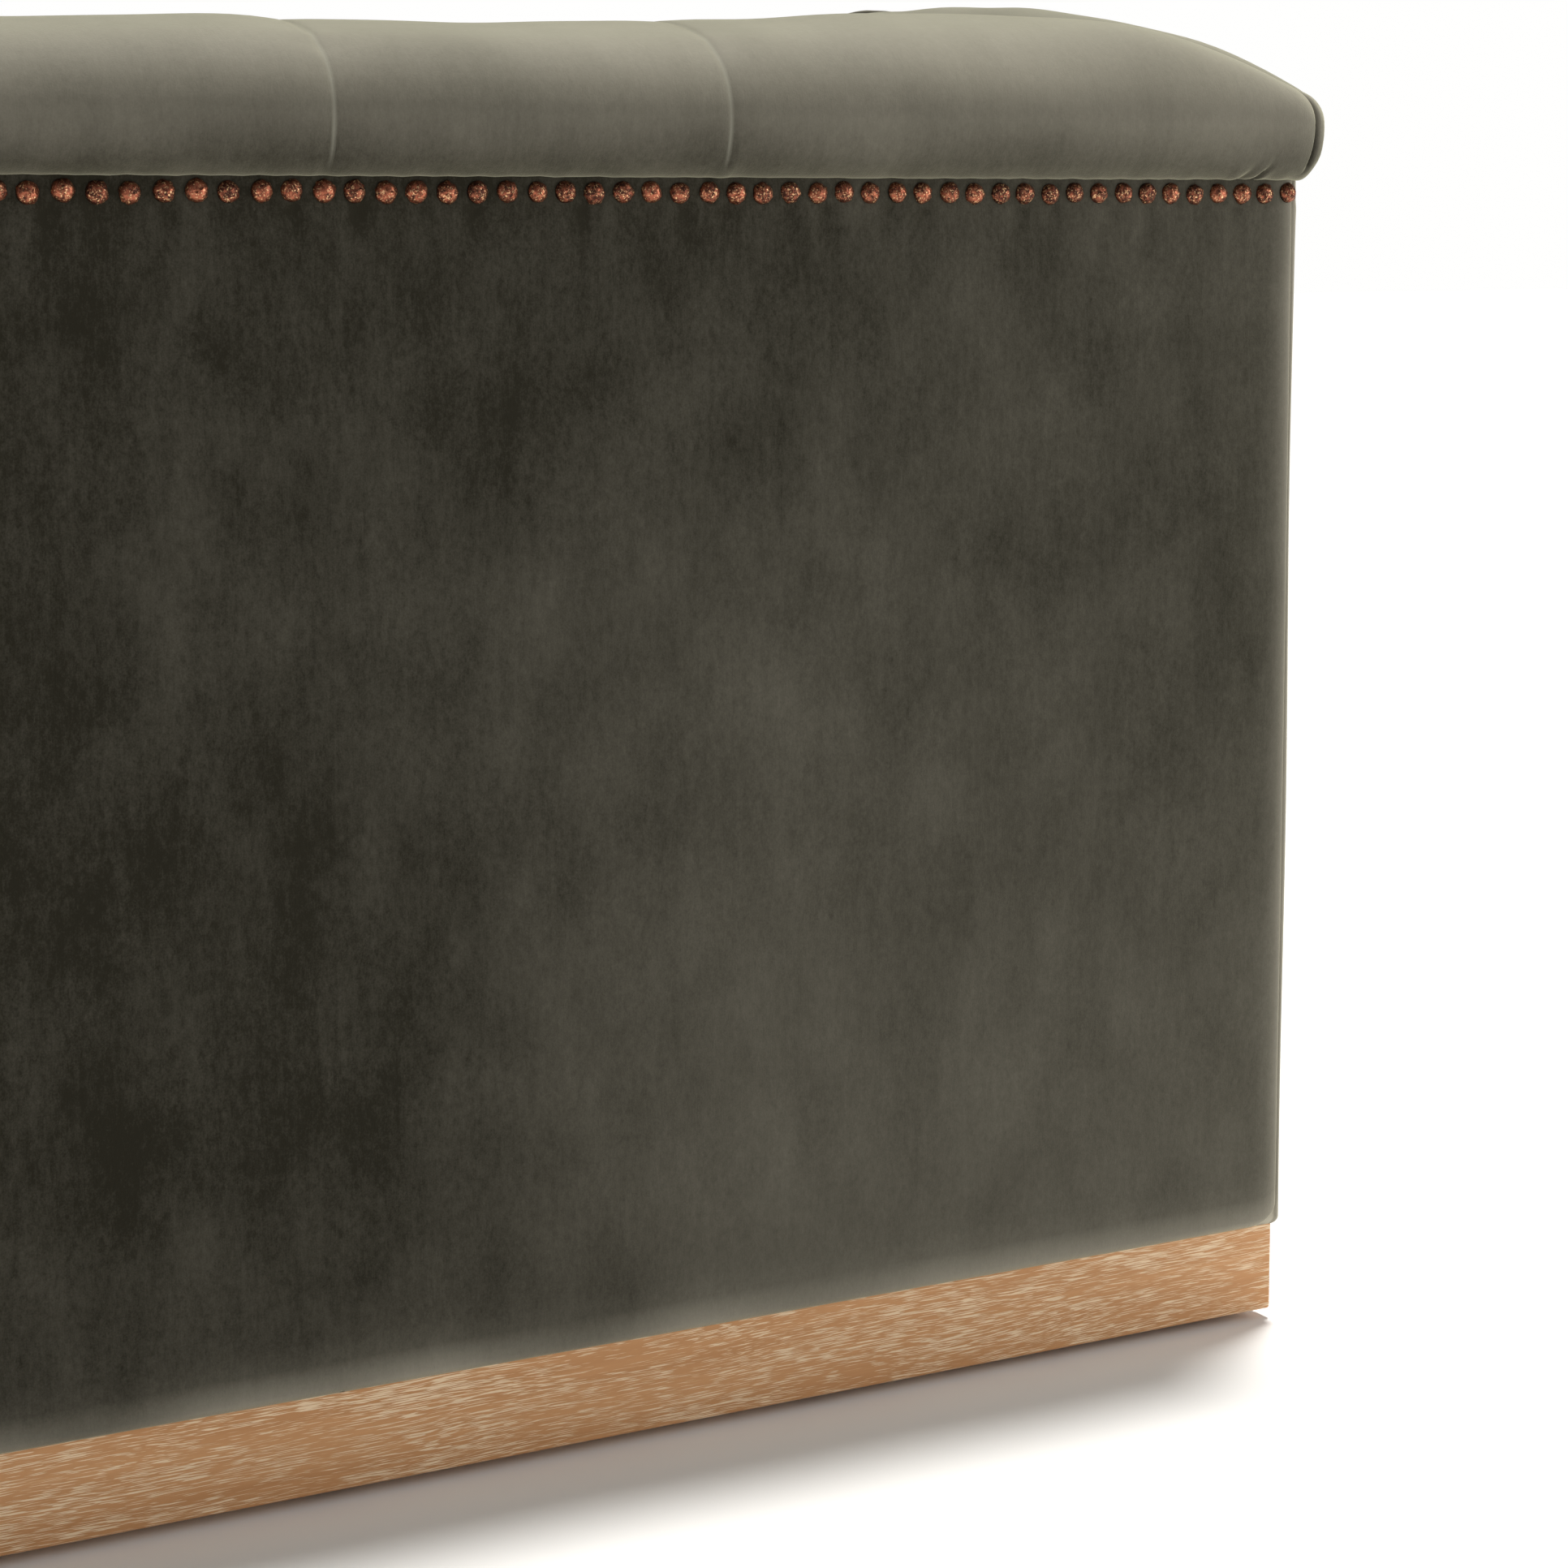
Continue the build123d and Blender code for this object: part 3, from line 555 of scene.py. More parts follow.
def roll_grid(run, around, on_wing):
    """Points of a roll and their distance from the corner: rows along the run, columns round the
    section. On the back run goes from -2 at one mitre to 2 at the other, and past 1 the rows fan out
    to the mitre; on a wing it goes from nought at the mitre to one at the wing's face."""
    depth, level, lift = (a[None, :] for a in roll_section(around))
    radius = TUCK_RADIUS + (CORNER_RADIUS - TUCK_RADIUS) * np.clip(-depth / OVERHANG, 0, 1)
    radius = np.where(around[None, :] >= 1, np.maximum(CORNER_RADIUS - OVERHANG - depth, 0.001), radius)
    run = run[:, None]
    if on_wing:
        reach = -run * (BACK - depth - radius - WING_END + corner_half(radius))
    else:
        length = SIDE - depth - radius + corner_half(radius)
        walked = np.minimum(np.abs(run), 1) * FLAT_RUN + np.maximum(np.abs(run) - 1, 0) * (length - FLAT_RUN)
        reach = length - walked
    x, y = round_corner(reach, depth, radius)
    high = crown_height(np.abs(reach), on_wing)
    if not on_wing:
        x = x * np.where(run < 0, -1, 1)
        high = high + 0.006 * bell(x, 0.13) - 0.012 * bell(x - 0.34, 0.15)
    z = NAIL_LINE + level + (high - WAIST) * lift
    return np.stack([x, y, z], axis=-1), np.abs(reach) + 0 * z


def ring_of(counts):
    """Numbers from nought to five round the section, with so many columns in each part."""
    return np.concatenate([part + np.arange(n) / n for part, n in enumerate(counts)])

# %% [markdown]
# ## Swelling the cloth
# The simulation works on a coarse grid of the same surface. Pressure pushes the cloth out, the held
# points stay where they are, and no point may move further than a cap. What is kept is how far each
# coarse point moved outwards; that is laid over the fine grid by plain interpolation, so that sharp
# seams and tucks can be added afterwards.

# %% Cloth simulation
def grid_normals(grid):
    """Outward unit normals of a grid, from the cross product of its two directions."""
    return unit(np.cross(np.roll(grid, -1, 1) - np.roll(grid, 1, 1), np.gradient(grid, axis=0)))


FRAMES = 20
CAP = 0.006                     # no point of the cloth moves further than this
STUFFED = {"quality": 6, "mass": 0.25, "tension_stiffness": 22, "compression_stiffness": 12,
           "shear_stiffness": 8, "bending_stiffness": 0.4, "use_pressure": True,
           "uniform_pressure_force": 4.0, "vertex_group_mass": "held"}


def swell(name, grid, held):
    """Displacement of every point of a closed coarse grid after the frames under pressure."""
    piece = carried(name, grid, VELVET)
    group = piece.vertex_groups.new(name="held")
    weight = np.append(held.ravel(), [1.0, 1.0])
    for value in np.unique(weight):
        group.add(np.flatnonzero(weight == value).tolist(), float(value), "REPLACE")
    cloth = piece.modifiers.new("cloth", "CLOTH")
    for key, value in STUFFED.items():
        setattr(cloth.settings, key, value)
    cloth.settings.effector_weights.gravity = 0
    cloth.collision_settings.use_collision = False
    cloth.point_cache.frame_end = FRAMES
    for step in range(1, FRAMES + 1):
        bpy.context.scene.frame_set(step)
    shape = piece.evaluated_get(bpy.context.evaluated_depsgraph_get()).data
    moved = np.empty(len(shape.vertices) * 3, np.float32)
    shape.vertices.foreach_get("co", moved)
    moved = moved.reshape(-1, 3)[:-2].reshape(grid.shape) - grid
    bpy.data.objects.remove(piece)
    bpy.context.scene.frame_set(1)
    size = np.linalg.norm(moved, axis=-1, keepdims=True)
    moved = moved * (CAP * np.tanh(size / CAP) / np.maximum(size, 1e-9))
    print(f"{name}: swelled by up to {1000 * np.abs(moved).max():.1f} mm")
    return moved


def resample(values, rows_from, cols_from, rows_to, cols_to):
    """A coarse grid of vectors read at finer places, straight-line interpolation along each axis."""
    wide = np.concatenate([values, values[:, :1]], axis=1)
    turn = np.append(cols_from, 5.0)
    first = np.stack([[np.interp(cols_to, turn, row[:, k]) for row in wide] for k in range(3)], -1)
    return np.stack([np.stack([np.interp(rows_to, rows_from, first[:, j, k])
                               for j in range(len(cols_to))], 1) for k in range(3)], -1)

# %% [markdown]
# ## Making the three rolls
# Each roll gets its swell, then the details that are too small for the simulation: a groove at each
# wrap-over seam with a stitched line along it, the fold at the mitre where one length passes over
# the other, and the puckers that the nails pull along the tuck.

# %% Rolls
COARSE = ring_of((4, 9, 8, 3, 3))
FINE = ring_of((12, 30, 20, 6, 4))
BACK_SEAMS = np.array([-SEAM_PITCH, 0.0, SEAM_PITCH])
FAN_LENGTH = SIDE + OVERHANG - CORNER_RADIUS + corner_half(CORNER_RADIUS) - FLAT_RUN
SLIT = 0.016                    # from the mitre to the edge where one length folds over the other
SLIT_DEPTH, LIP_HEIGHT = 0.0085, 0.0030
FOLD_DEPTH = 0.006              # the crease between two rolls at the inside of the corner
GROOVE_DEPTH, STITCH_DEPTH = 0.0022, 0.0016
TUCK_DEPTH = 0.0042             # the two gathers beside the slit


def dress_roll(name, fine_run, coarse_run, on_wing, seams):
    """The finished grid of a roll, with its seam mark, a painted highlight along the seams, and its lift
    mark: painted light over the top of the roll, painted shade in the slit and the tucks, and random
    brushing.
    """
    grid, reach = roll_grid(fine_run, FINE, on_wing)
    coarse, coarse_reach = roll_grid(coarse_run, COARSE, on_wing)
    walk = -coarse[..., 1] if on_wing else coarse[..., 0]
    tucked = (COARSE >= 4) | (COARSE == 0)
    held = np.maximum(0.45 * bump_at(walk, seams, 0.02), np.where(coarse_reach < 0.03, 0.8, 0))
    held = np.maximum(held, np.broadcast_to(tucked, held.shape).astype(float))
    pushed = swell(name + "_swell", coarse, np.round(held, 2))
    grid = grid + resample(pushed, coarse_run, COARSE, fine_run, FINE)
    normal = grid_normals(grid)
    side = grid[..., 1] if on_wing else grid[..., 0]
    level = grid[..., 2] - NAIL_LINE
    from_mitre = (1 if on_wing else (2 - np.abs(fine_run))[:, None] * FAN_LENGTH) + 0 * level
    free = smoothstep(0.15, 0.8, FINE) * (1 - smoothstep(3.4, 3.9, FINE))
    inner = smoothstep(2.0, 2.4, FINE) * (1 - smoothstep(3.2, 3.7, FINE))
    outer = 1 - smoothstep(1.6, 1.9, FINE)
    valley = bump_at(side, seams, 0.030) * (1 - 0.6 * smoothstep(1.2, 1.8, FINE))
    groove = -GROOVE_DEPTH * valley - STITCH_DEPTH * bump_at(side, seams, 0.0030)
    fold = bump_at(reach, [0.0], 0.0075) * inner
    slit_span = smoothstep(0.018, 0.040, level) * (1 - smoothstep(0.088, 0.108, level)) * outer
    slit = bell(from_mitre - SLIT, 0.0026) * slit_span
    lip = bell(from_mitre - SLIT + 0.013, 0.010) * slit_span
    tucks = bell(from_mitre - 0.062, 0.0030) + 0.4 * bell(from_mitre - 0.080, 0.004)
    tucks = tucks * bell(FINE - 0.14, 0.26) * outer
    pucker = np.cos(2 * np.pi * side / NAIL_PITCH) * bell(FINE - 0.18, 0.3)
    pull = waves(side, 0 * side, 19, 0.05) * bell(FINE - 0.35, 0.35)
    swellings = 0.0017 * waves(side, FINE[None, :] * 0.08, 7 + on_wing, 0.16) * free
    shift = groove * free - FOLD_DEPTH * fold - SLIT_DEPTH * slit + LIP_HEIGHT * lip
    shift = shift - TUCK_DEPTH * tucks - 0.0005 * pucker + 0.0010 * pull + swellings
    grid = grid + normal * shift[..., None]
    # painted highlight along each seam, where the folded edge would catch the light
    seam = 0.50 * bump_at(side, seams, 0.0013) * free
    # painted light: the lift mark is lighter over the top of the roll, where light from above falls; painted
    # shade darkens the slit and the tucks. It is also lighter towards the mitre, and brushing adds random
    # tone.
    top = smoothstep(0.25, 1.7, FINE)[None, :] + 0 * side
    cleft = np.clip(slit * 1.3, 0, 1) + 0.5 * np.clip(tucks, 0, 1)
    brushing = 0.22 * waves(side, 2.2 * level, 13 + on_wing, 0.17) * free
    lift = -0.34 + 1.74 * top + (0.14 + 0.55 * top) * fade(from_mitre, 0.30) + brushing - 0.9 * cleft
    return grid, {"seam": np.clip(seam, 0, 1), "lift": lift}


flat = stations(FLAT_RUN, 0.014, fine_places=(0.0, SEAM_PITCH)) / FLAT_RUN
near_mitre = np.unique(np.concatenate([np.linspace(0, 0.10, 40), SLIT + np.linspace(-0.006, 0.006, 17)]))
fan = 2 - np.append(np.linspace(0.105, FAN_LENGTH, 12)[::-1][1:], near_mitre[::-1]) / FAN_LENGTH
half = np.append(flat, fan)
back_run = np.concatenate([-half[::-1], half[1:]])
coarse_half = np.append(np.linspace(0, 1, 40), np.linspace(1, 2, 16)[1:])
coarse_back = np.concatenate([-coarse_half[::-1], coarse_half[1:]])
points, marks = dress_roll("roll_back", back_run, coarse_back, False, BACK_SEAMS)
roll_back = carried("velvet_roll_back", points, VELVET, marks)
settle(roll_back, "roll_cover_back", "roll_foam_back", slot="velvet", fill=0.85)

wing_run = np.append(np.linspace(0, 0.1, 22), np.linspace(0.1, 1, 44)[1:])
coarse_wing = np.linspace(0, 1, 30)
points, marks = dress_roll("roll_wing", wing_run, coarse_wing, True, np.array([]))
for side, sign in SIDES.items():
    roll = carried("velvet_roll_" + side, mirrored(points, sign), VELVET, marks)
    settle(roll, "roll_cover_" + side, "roll_foam_" + side, slot="velvet", fill=0.85)

# %% [markdown]
# ## The outside covers
# Flat panels of velvet close the back and the outsides of the wings. Each one is pulled over its
# board, rounds under at the bottom, and disappears under the roll at the top. It swells a little in
# the middle, dips at every nail, and meets its neighbour in a narrow stitched groove at the corner.

# %% Outside covers
RIM = 0.009                     # radius where the cloth turns under the bottom of its board
DROP = 0.003                    # how far the turned cloth hangs below the frame
CORNER = 0.008                  # radius of the upright corner between two panels
TURN_IN = 0.006                 # how deep the cloth goes in under the roll
LAP = 0.0045                    # from the corner's middle to the back panel's edge
CURL = 0.0045                   # how far in from its edge the back panel curls
ROUNDED = 0.023                 # rounding of the back panel's bottom corners
BELLY, DRAPE, NAIL_DIP, TUG = 0.0035, 0.0012, 0.0016, 0.0020


def panel_section(rows_face):
    """(depth, height, pull) round the slab of an outside cover: down the face, round the bottom rim,
    a short way under, and back up inside. pull is one on the face and nought elsewhere."""
    fine = np.linspace(TUCK + 0.004, NAIL_LINE - 0.03, 26)
    face = np.append(fine, np.linspace(NAIL_LINE - 0.03, BASE + RIM - DROP, rows_face)[1:])
    top = TURN_IN * (1 - smoothstep(-0.012, 0.001, TUCK - face)) + 0 * face
    turn = np.linspace(0, np.pi / 2, 9)[1:]
    rim = RIM * (1 - np.cos(turn)), BASE + RIM - DROP - RIM * np.sin(turn)
    inside = np.linspace(BASE, TUCK, 5)
    depth = np.concatenate([top, rim[0], [0.0115], np.full(5, 0.0035) + np.array([0.006, 0, 0, 0, 0.004])])
    level = np.concatenate([face, rim[1], [BASE - DROP], inside])
    pull = np.concatenate([np.ones(len(face)), np.cos(turn), np.zeros(6)])
    return depth, level, pull


def panel_grid(from_corner, on_wing, seed):
    """Points and marks of an outside cover: rows away from the corner's middle, columns round the
    section. The wing's cloth passes round the corner and under the edge of the back panel, whose
    own edge curls in and whose bottom corner is rounded."""
    depth, level, pull = panel_section(46)
    reach = from_corner[:, None] + 0 * depth[None, :]
    x, y = round_corner(-reach if on_wing else reach, depth[None, :], CORNER)
    side = y if on_wing else x
    share = np.clip((TUCK - level) / (TUCK - BASE), 0, 1)[None, :]
    belly = BELLY * np.sin(np.pi * share) ** 0.7 * smoothstep(0.0, 0.09, reach)
    drape = DRAPE * waves(side, level[None, :] * 0.55, seed, 0.34) * np.sin(np.pi * share) ** 0.5
    nails = bell(level - NAIL_LINE, 0.010) * np.cos(np.pi * side / NAIL_PITCH) ** 2
    below = smoothstep(0.0, 0.014, NAIL_LINE - 0.004 - level) * fade(NAIL_LINE - level, 0.021)
    gathers = waves(side, 0 * side, seed + 40, 0.032)
    if on_wing:
        edge = 0.0034 * smoothstep(-0.0005, 0.0015, -reach - LAP + 0.0015)
        rounded = 0 * reach
    else:
        edge = 0.0032 * (1 - np.sqrt(1 - np.clip((LAP + CURL - reach) / CURL, 0, 1) ** 2))
        inward = np.clip(1 - (reach - LAP) / ROUNDED, 0, 1)
        rounded = ROUNDED * (1 - np.sqrt(1 - inward ** 2)) * np.clip(1 - (level - BASE) / 0.07, 0, 1)
    out = (belly + drape - NAIL_DIP * nails - TUG * below * gathers - edge) * pull
    turned = np.clip(reach / corner_half(CORNER), -1, 1) * np.pi / 4
    angle = np.pi / 4 + (-turned if on_wing else turned)
    z = level[None, :] + rounded
    points = np.stack([x + np.cos(angle) * out, y + np.sin(angle) * out, z], axis=-1)
    patchy = 0.8 + 0.27 * waves(side, level[None, :], seed + 7, 0.22)
    # painted light: a painted highlight along the bottom rim, where the cloth turns under and the sheen would
    # catch it, partly pile raised by the pull; a painted highlight along the upright corner; painted shade in
    # the gathers below the nails
    rim = (2.6 * fade(z - BASE, 0.013) + 0.25 * fade(z - BASE, 0.05)) * patchy
    upright = fade(reach - LAP, 0.0095) * (0.75 + 0.25 * patchy)
    fold_shade = -0.30 * below * np.clip(gathers, -0.3, 1)
    return points, {"lift": (rim + 2.6 * upright + fold_shade) * pull}


def painted_light_tone(x, z):
    """Painted light over the back: lighter towards minus X, the side that the side light falls on, and
    lighter again in the middle and at the foot.
    """
    lit_side = smoothstep(-0.25, -0.90, x)
    middle = np.exp(-(((x + 0.42) / 0.32) ** 2) - ((z - 0.60) / 0.30) ** 2)
    foot = smoothstep(0.55, 0.20, z) * (0.25 + 0.75 * smoothstep(0.1, -0.4, x))
    return -0.51 + 0.17 * lit_side + 0.38 * middle + 0.34 * foot


length = SIDE - CORNER + corner_half(CORNER)
edge_steps = LAP + np.array([0, 0.0007, 0.0015, 0.0025, 0.0038, 0.0055, 0.008, 0.011, 0.0145, 0.0185])
half, marks = panel_grid(np.append(edge_steps, np.linspace(0.030, length, 300)), False, 3)
marks = {key: np.concatenate([value, value[::-1][1:]]) for key, value in marks.items()}
whole = np.concatenate([half, mirrored(half[::-1][1:])])
# painted light over the back panel, added to its lift mark
marks["lift"] = marks["lift"] + painted_light_tone(whole[..., 0], whole[..., 2])
back_panel = carried("velvet_back_panel", whole, VELVET, marks)
settle(back_panel, "back_cover", slot="velvet", fill=0.35)

reach_out = BACK - CORNER - WING_END + corner_half(CORNER)
edge_steps = np.array([-0.018, -0.010, -0.0065, -0.005, -0.0040, -0.0030, -0.0015, 0,
                       0.0015, 0.003, 0.0045, 0.006, 0.009, 0.014])
wing_panel, marks = panel_grid(np.append(edge_steps, np.linspace(0.022, reach_out, 140)), True, 5)
for side, sign in SIDES.items():
    panel = carried("velvet_wing_panel_" + side, mirrored(wing_panel, sign), VELVET, marks)
    settle(panel, "wing_outer_cover_" + side, slot="velvet", fill=0.35)

# %% [markdown]
# ## Nailheads
# Every nail is the same low dome, beaten a little out of round. The whole row is one array: the dome's
# points are scaled, tilted and turned for each nail at once, and a tone for each nail is kept as a
# mark, which the copper uses to make some nails darker than others. A second mark paints shade round
# the foot of each dome.

# %% Nails
def dome_shape(around=18, rings=6, radius=NAIL_RADIUS * 1.03, height=0.0080):
    """Points and faces of one dome along +Z: rings from the rim up to the middle, closed beneath."""
    angle = np.linspace(0, 2 * np.pi, around, endpoint=False)
    climb = np.linspace(0, np.pi / 2, rings + 1)[:-1]
    out = np.cos(climb)[:, None] * radius
    up = np.sin(climb)[:, None] * height + 0 * angle
    body = np.stack([out * np.cos(angle), out * np.sin(angle), up], -1).reshape(-1, 3)
    points = np.concatenate([body, [[0, 0, height], [0, 0, 0]]])
    ring = np.arange(around)
    top, under = len(body), len(body) + 1
    cap = np.stack([(rings - 1) * around + ring, (rings - 1) * around + np.roll(ring, -1),
                    np.full(around, top)], 1)
    base = np.stack([np.roll(ring, -1), ring, np.full(around, under)], 1)
    return points, grid_faces(rings, around, wrap=True), np.concatenate([cap, base])


def row_of_domes(name, centres, facing, seed, material, wobble=0.035, depth=0.00045, **shape):
    """Copies of the dome at all the centres, each facing its own way with its own size and dents."""
    rng = np.random.default_rng(seed)
    points, quads, caps = dome_shape(**shape)
    count = len(centres)
    dents = 1 + rng.normal(0, wobble, (count, len(points), 1)) * (points[:, 2:3] > 0)
    lifted = points * np.append(np.ones_like(points[None, :, :2]).repeat(count, 0), dents, axis=-1)
    lifted = lifted + rng.normal(0, depth, lifted.shape) * np.array([1, 1, 0.6]) * (points[:, 2:3] > 1e-4)
    spin = rng.uniform(0, 2 * np.pi, count)
    zero = 0 * spin
    turn = np.array([[np.cos(spin), -np.sin(spin), zero], [np.sin(spin), np.cos(spin), zero],
                     [zero, zero, zero + 1]]).transpose(2, 0, 1)
    lifted = np.einsum("nij,npj->npi", turn, lifted) * rng.normal(1, 0.02, (count, 1, 1))
    out = unit(facing + rng.normal(0, 0.055, facing.shape))
    right = unit(np.cross([0.0, 0.0, 1.0], out))
    basis = np.stack([right, np.cross(out, right), out], axis=2)
    placed = np.einsum("nij,npj->npi", basis, lifted) + centres[:, None, :]
    step = (np.arange(count) * len(points))[:, None, None]
    faces = [(f[None] + step).reshape(-1, f.shape[1]) for f in (quads, caps)]
    tone = np.repeat(rng.uniform(-1, 1, count), len(points))
    # painted shade: strongest at the foot of the dome, where it meets the cloth
    rim = np.tile(np.exp(-points[:, 2] / (0.16 * points[:, 2].max())), count)
    return new_piece(name, placed.reshape(-1, 3), faces, material, tone=tone, rim=rim)


count = int((2 * SIDE - 2 * NAIL_RADIUS) / NAIL_PITCH) + 1
across = (np.arange(count) - (count - 1) / 2) * NAIL_PITCH
jitter = np.random.default_rng(11).normal(0, 0.0006, (count, 2))
centres = np.stack([across + jitter[:, 0], np.full(count, BACK - 0.001), NAIL_LINE + jitter[:, 1]], 1)
nails = row_of_domes("copper_nails_back", centres, np.tile([0.0, 1.0, 0.0], (count, 1)), 21, COPPER)
settle(nails, "nailheads_back", slot="antique_copper")

low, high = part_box("nailheads_wings")
count = int((BACK - WING_FACE - 2 * NAIL_RADIUS) / NAIL_PITCH) + 1
along = low.y + NAIL_RADIUS + NAIL_PITCH * np.arange(count)
centres = np.concatenate([np.stack([np.full(count, s * (SIDE - 0.001)), along, np.full(count, NAIL_LINE)], 1)
                          for s in SIDES.values()])
facing = np.repeat([[-1.0, 0, 0], [1.0, 0, 0]], count, 0)
nails = row_of_domes("copper_nails_wings", centres, facing, 22, COPPER)
settle(nails, "nailheads_wings", slot="antique_copper")

# %% [markdown]
# ## Diamond tufting
# The inside of the headboard and of the wings is deep buttoned. In lattice coordinates the buttons
# sit at whole numbers of u and v; the stuffing rises as the product of two sines, which is nought
# along both families of pleat lines. Above the top row and below the bottom row the height is held
# still in that formula, and the pleats run straight up and down from the buttons.

# %% Tufted insides
ROW_LOW, ROW_HIGH, ROWS = 0.500, 1.020, 4
ROW_STEP = (ROW_HIGH - ROW_LOW) / (ROWS - 1)
INNER_THICK = 0.045
PILLOW_LOW, PILLOW_RISE, BUTTON_DENT = -0.031, 0.038, 0.010


def pillow(side, level):
    """(height share, closeness to a button) of the tufted stuffing at a place on the wall."""
    row = (np.clip(level, ROW_LOW, ROW_HIGH) - ROW_LOW) / (2 * ROW_STEP)
    u = side / TUFT_PITCH + row
    v = side / TUFT_PITCH - row
    rise = np.abs(np.sin(np.pi * u) * np.sin(np.pi * v)) ** 0.42
    off_u, off_v = u - np.round(u), v - np.round(v)
    gap_side = (off_u + off_v) / 2 * TUFT_PITCH
    gap_up = (off_u - off_v) * ROW_STEP
    outside = np.maximum(np.maximum(ROW_LOW - level, level - ROW_HIGH), 0)
    gap = np.sqrt(gap_side ** 2 + gap_up ** 2 + outside ** 2)
    return rise, bell(gap, 0.026)


def tufted(name, sides, origin, to_world, edge_low, edge_high, seed):
    """A closed tufted slab: rows along the wall, columns down its face and back up behind it."""
    level = np.linspace(TUCK + 0.004, DECK_COVER, 150)
    rise, button = pillow(sides[:, None] - origin, level[None, :])
    edge = np.minimum(sides - edge_low, edge_high - sides)[:, None]
    top = np.minimum(TUCK - level, level - DECK_COVER + 0.01)[None, :]
    soft = smoothstep(-0.004, 0.035, edge) * smoothstep(-0.012, 0.035, top)
    high = (PILLOW_LOW + PILLOW_RISE * rise - BUTTON_DENT * button) * soft - 0.014 * (1 - soft)
    wrinkle = 0.0012 * waves(sides[:, None], level[None, :], seed, 0.07) * soft
    # painted light and shade: lighter on the pillows, darker in the pleats and at the buttons, and darker
    # where the tufting flattens at its edges
    lift = (0.42 * (rise - 0.45) - 0.3 * button) * soft - 0.15 * (1 - soft)
    marks = {"lift": np.concatenate([lift, np.zeros((len(sides), 3))], axis=1)}
    back = np.full((len(sides), 3), -INNER_THICK)
    heights = np.concatenate([high + wrinkle, back], axis=1)
    levels = np.broadcast_to(np.concatenate([level, [DECK_COVER, 0.7, TUCK]]), heights.shape)
    grid = to_world(np.broadcast_to(sides[:, None], heights.shape), heights, levels)
    return carried(name, grid, VELVET, marks)


head_sides = np.linspace(-WELL - 0.016, WELL + 0.016, 420)
head = tufted("velvet_tufted_headboard", head_sides, 0.0,
              lambda s, h, z: np.stack([s, HEAD_FACE - h, z], -1), -WELL, WELL, 31)
settle(head, "headboard_front_cover", "headboard_foam", slot="velvet", fill=0.9)

WING_ORIGIN = WING_END + 0.1
wing_sides = np.linspace(WING_END, HEAD_FACE + 0.016, 120)
for side, sign in SIDES.items():
    inside = tufted("velvet_tufted_wing_" + side, wing_sides, WING_ORIGIN,
                    lambda s, h, z, sign=sign: np.stack([sign * (WELL - h), s, z], -1),
                    WING_END, HEAD_FACE, 33)
    settle(inside, "wing_inner_cover_" + side, "wing_foam_" + side, slot="velvet", fill=0.9)

# %% Buttons
BUTTON_IN = 0.038               # depth of the buttons behind the faces
spots = []
for row, level in enumerate(np.linspace(ROW_LOW, ROW_HIGH, ROWS)):
    offset = 0.5 * (row % 2)
    steps = np.arange(-4 + offset, 4.1 - offset) * TUFT_PITCH
    spots += [(x, HEAD_FACE + BUTTON_IN, level, 0.0, -1.0, 0.0) for x in steps]
    places = WING_ORIGIN + TUFT_PITCH * np.array([0.5] if row % 2 else [0.0, 1.0])
    spots += [(s * (WELL + BUTTON_IN), y, level, -s, 0.0, 0.0) for s in SIDES.values() for y in places]
spots = np.array(spots)
buttons = row_of_domes("velvet_buttons", spots[:, :3], spots[:, 3:], 41, VELVET, wobble=0.02, depth=0.0001,
                       around=20, rings=5, radius=0.013, height=0.009)
settle(buttons, "tuft_buttons", slot="velvet", fill=1.0)

# %% [markdown]
# ## Wing facings
# A padded facing closes the front end of each wing. Its outline is the wall below and the end of the
# roll above, with a notch over the side rail. At every height the outline is one interval across, so
# the slab is carried upwards, and a corded welt follows the outline.

# %% Facings
end_row = roll_grid(np.array([1.0]), FINE, True)[0][0]
outer_part = end_row[FINE <= 2]
inner_part = end_row[(FINE >= 2) & (FINE <= 4)][::-1]
CROWN = end_row[:, 2].max()
climb = np.sin(np.linspace(0, np.pi / 2, 34))
levels = np.concatenate([BASE - DROP + np.array([0, 0.002, 0.006, 0.012]),
                         np.linspace(0.13, RAIL_TOP - 0.0008, 8),
                         np.linspace(RAIL_TOP + 0.0008, TUCK - 0.02, 34), np.linspace(TUCK - 0.012, TUCK, 5),
                         TUCK + (CROWN - 0.0004 - TUCK) * climb[1:]])
outside = np.where(levels < TUCK, SIDE, np.interp(levels, outer_part[:, 2], outer_part[:, 0]))
inside = np.where(levels < TUCK, WELL, np.interp(levels, inner_part[:, 2], inner_part[:, 0]))
inside = np.where(levels < RAIL_TOP, RAIL_OUT + 0.0005, inside)
inside = np.where(levels < RAIL_TUCK - 0.004, RAIL_OUT - 0.0095, inside)
foot_turn = np.clip((levels - BASE + DROP) / 0.012, 0, 1)
inset = 0.006 * (1 - np.sqrt(1 - (1 - foot_turn) ** 2))
outside, inside = outside - inset, inside + inset
share = (1 - np.cos(np.linspace(0, np.pi, 26))) / 2
width = (outside - inside)[:, None]
x = inside[:, None] + width * share[None, :]
edge = np.minimum(width * np.minimum(share, 1 - share),
                  np.minimum(CROWN - levels, levels - BASE + 0.02)[:, None])
puff = WING_END - 0.004 - 0.014 * np.sqrt(np.clip(1 - (1 - np.clip(edge / 0.045, 0, 1)) ** 2, 0, 1))
puff = puff - 0.0008 * waves(x, levels[:, None], 51, 0.13)
z = np.broadcast_to(levels[:, None], x.shape)
rear = np.stack([x, np.full(x.shape, WING_END), z], -1)[:, ::-1]
facing_grid = np.concatenate([np.stack([x, puff, z], -1), rear], axis=1)


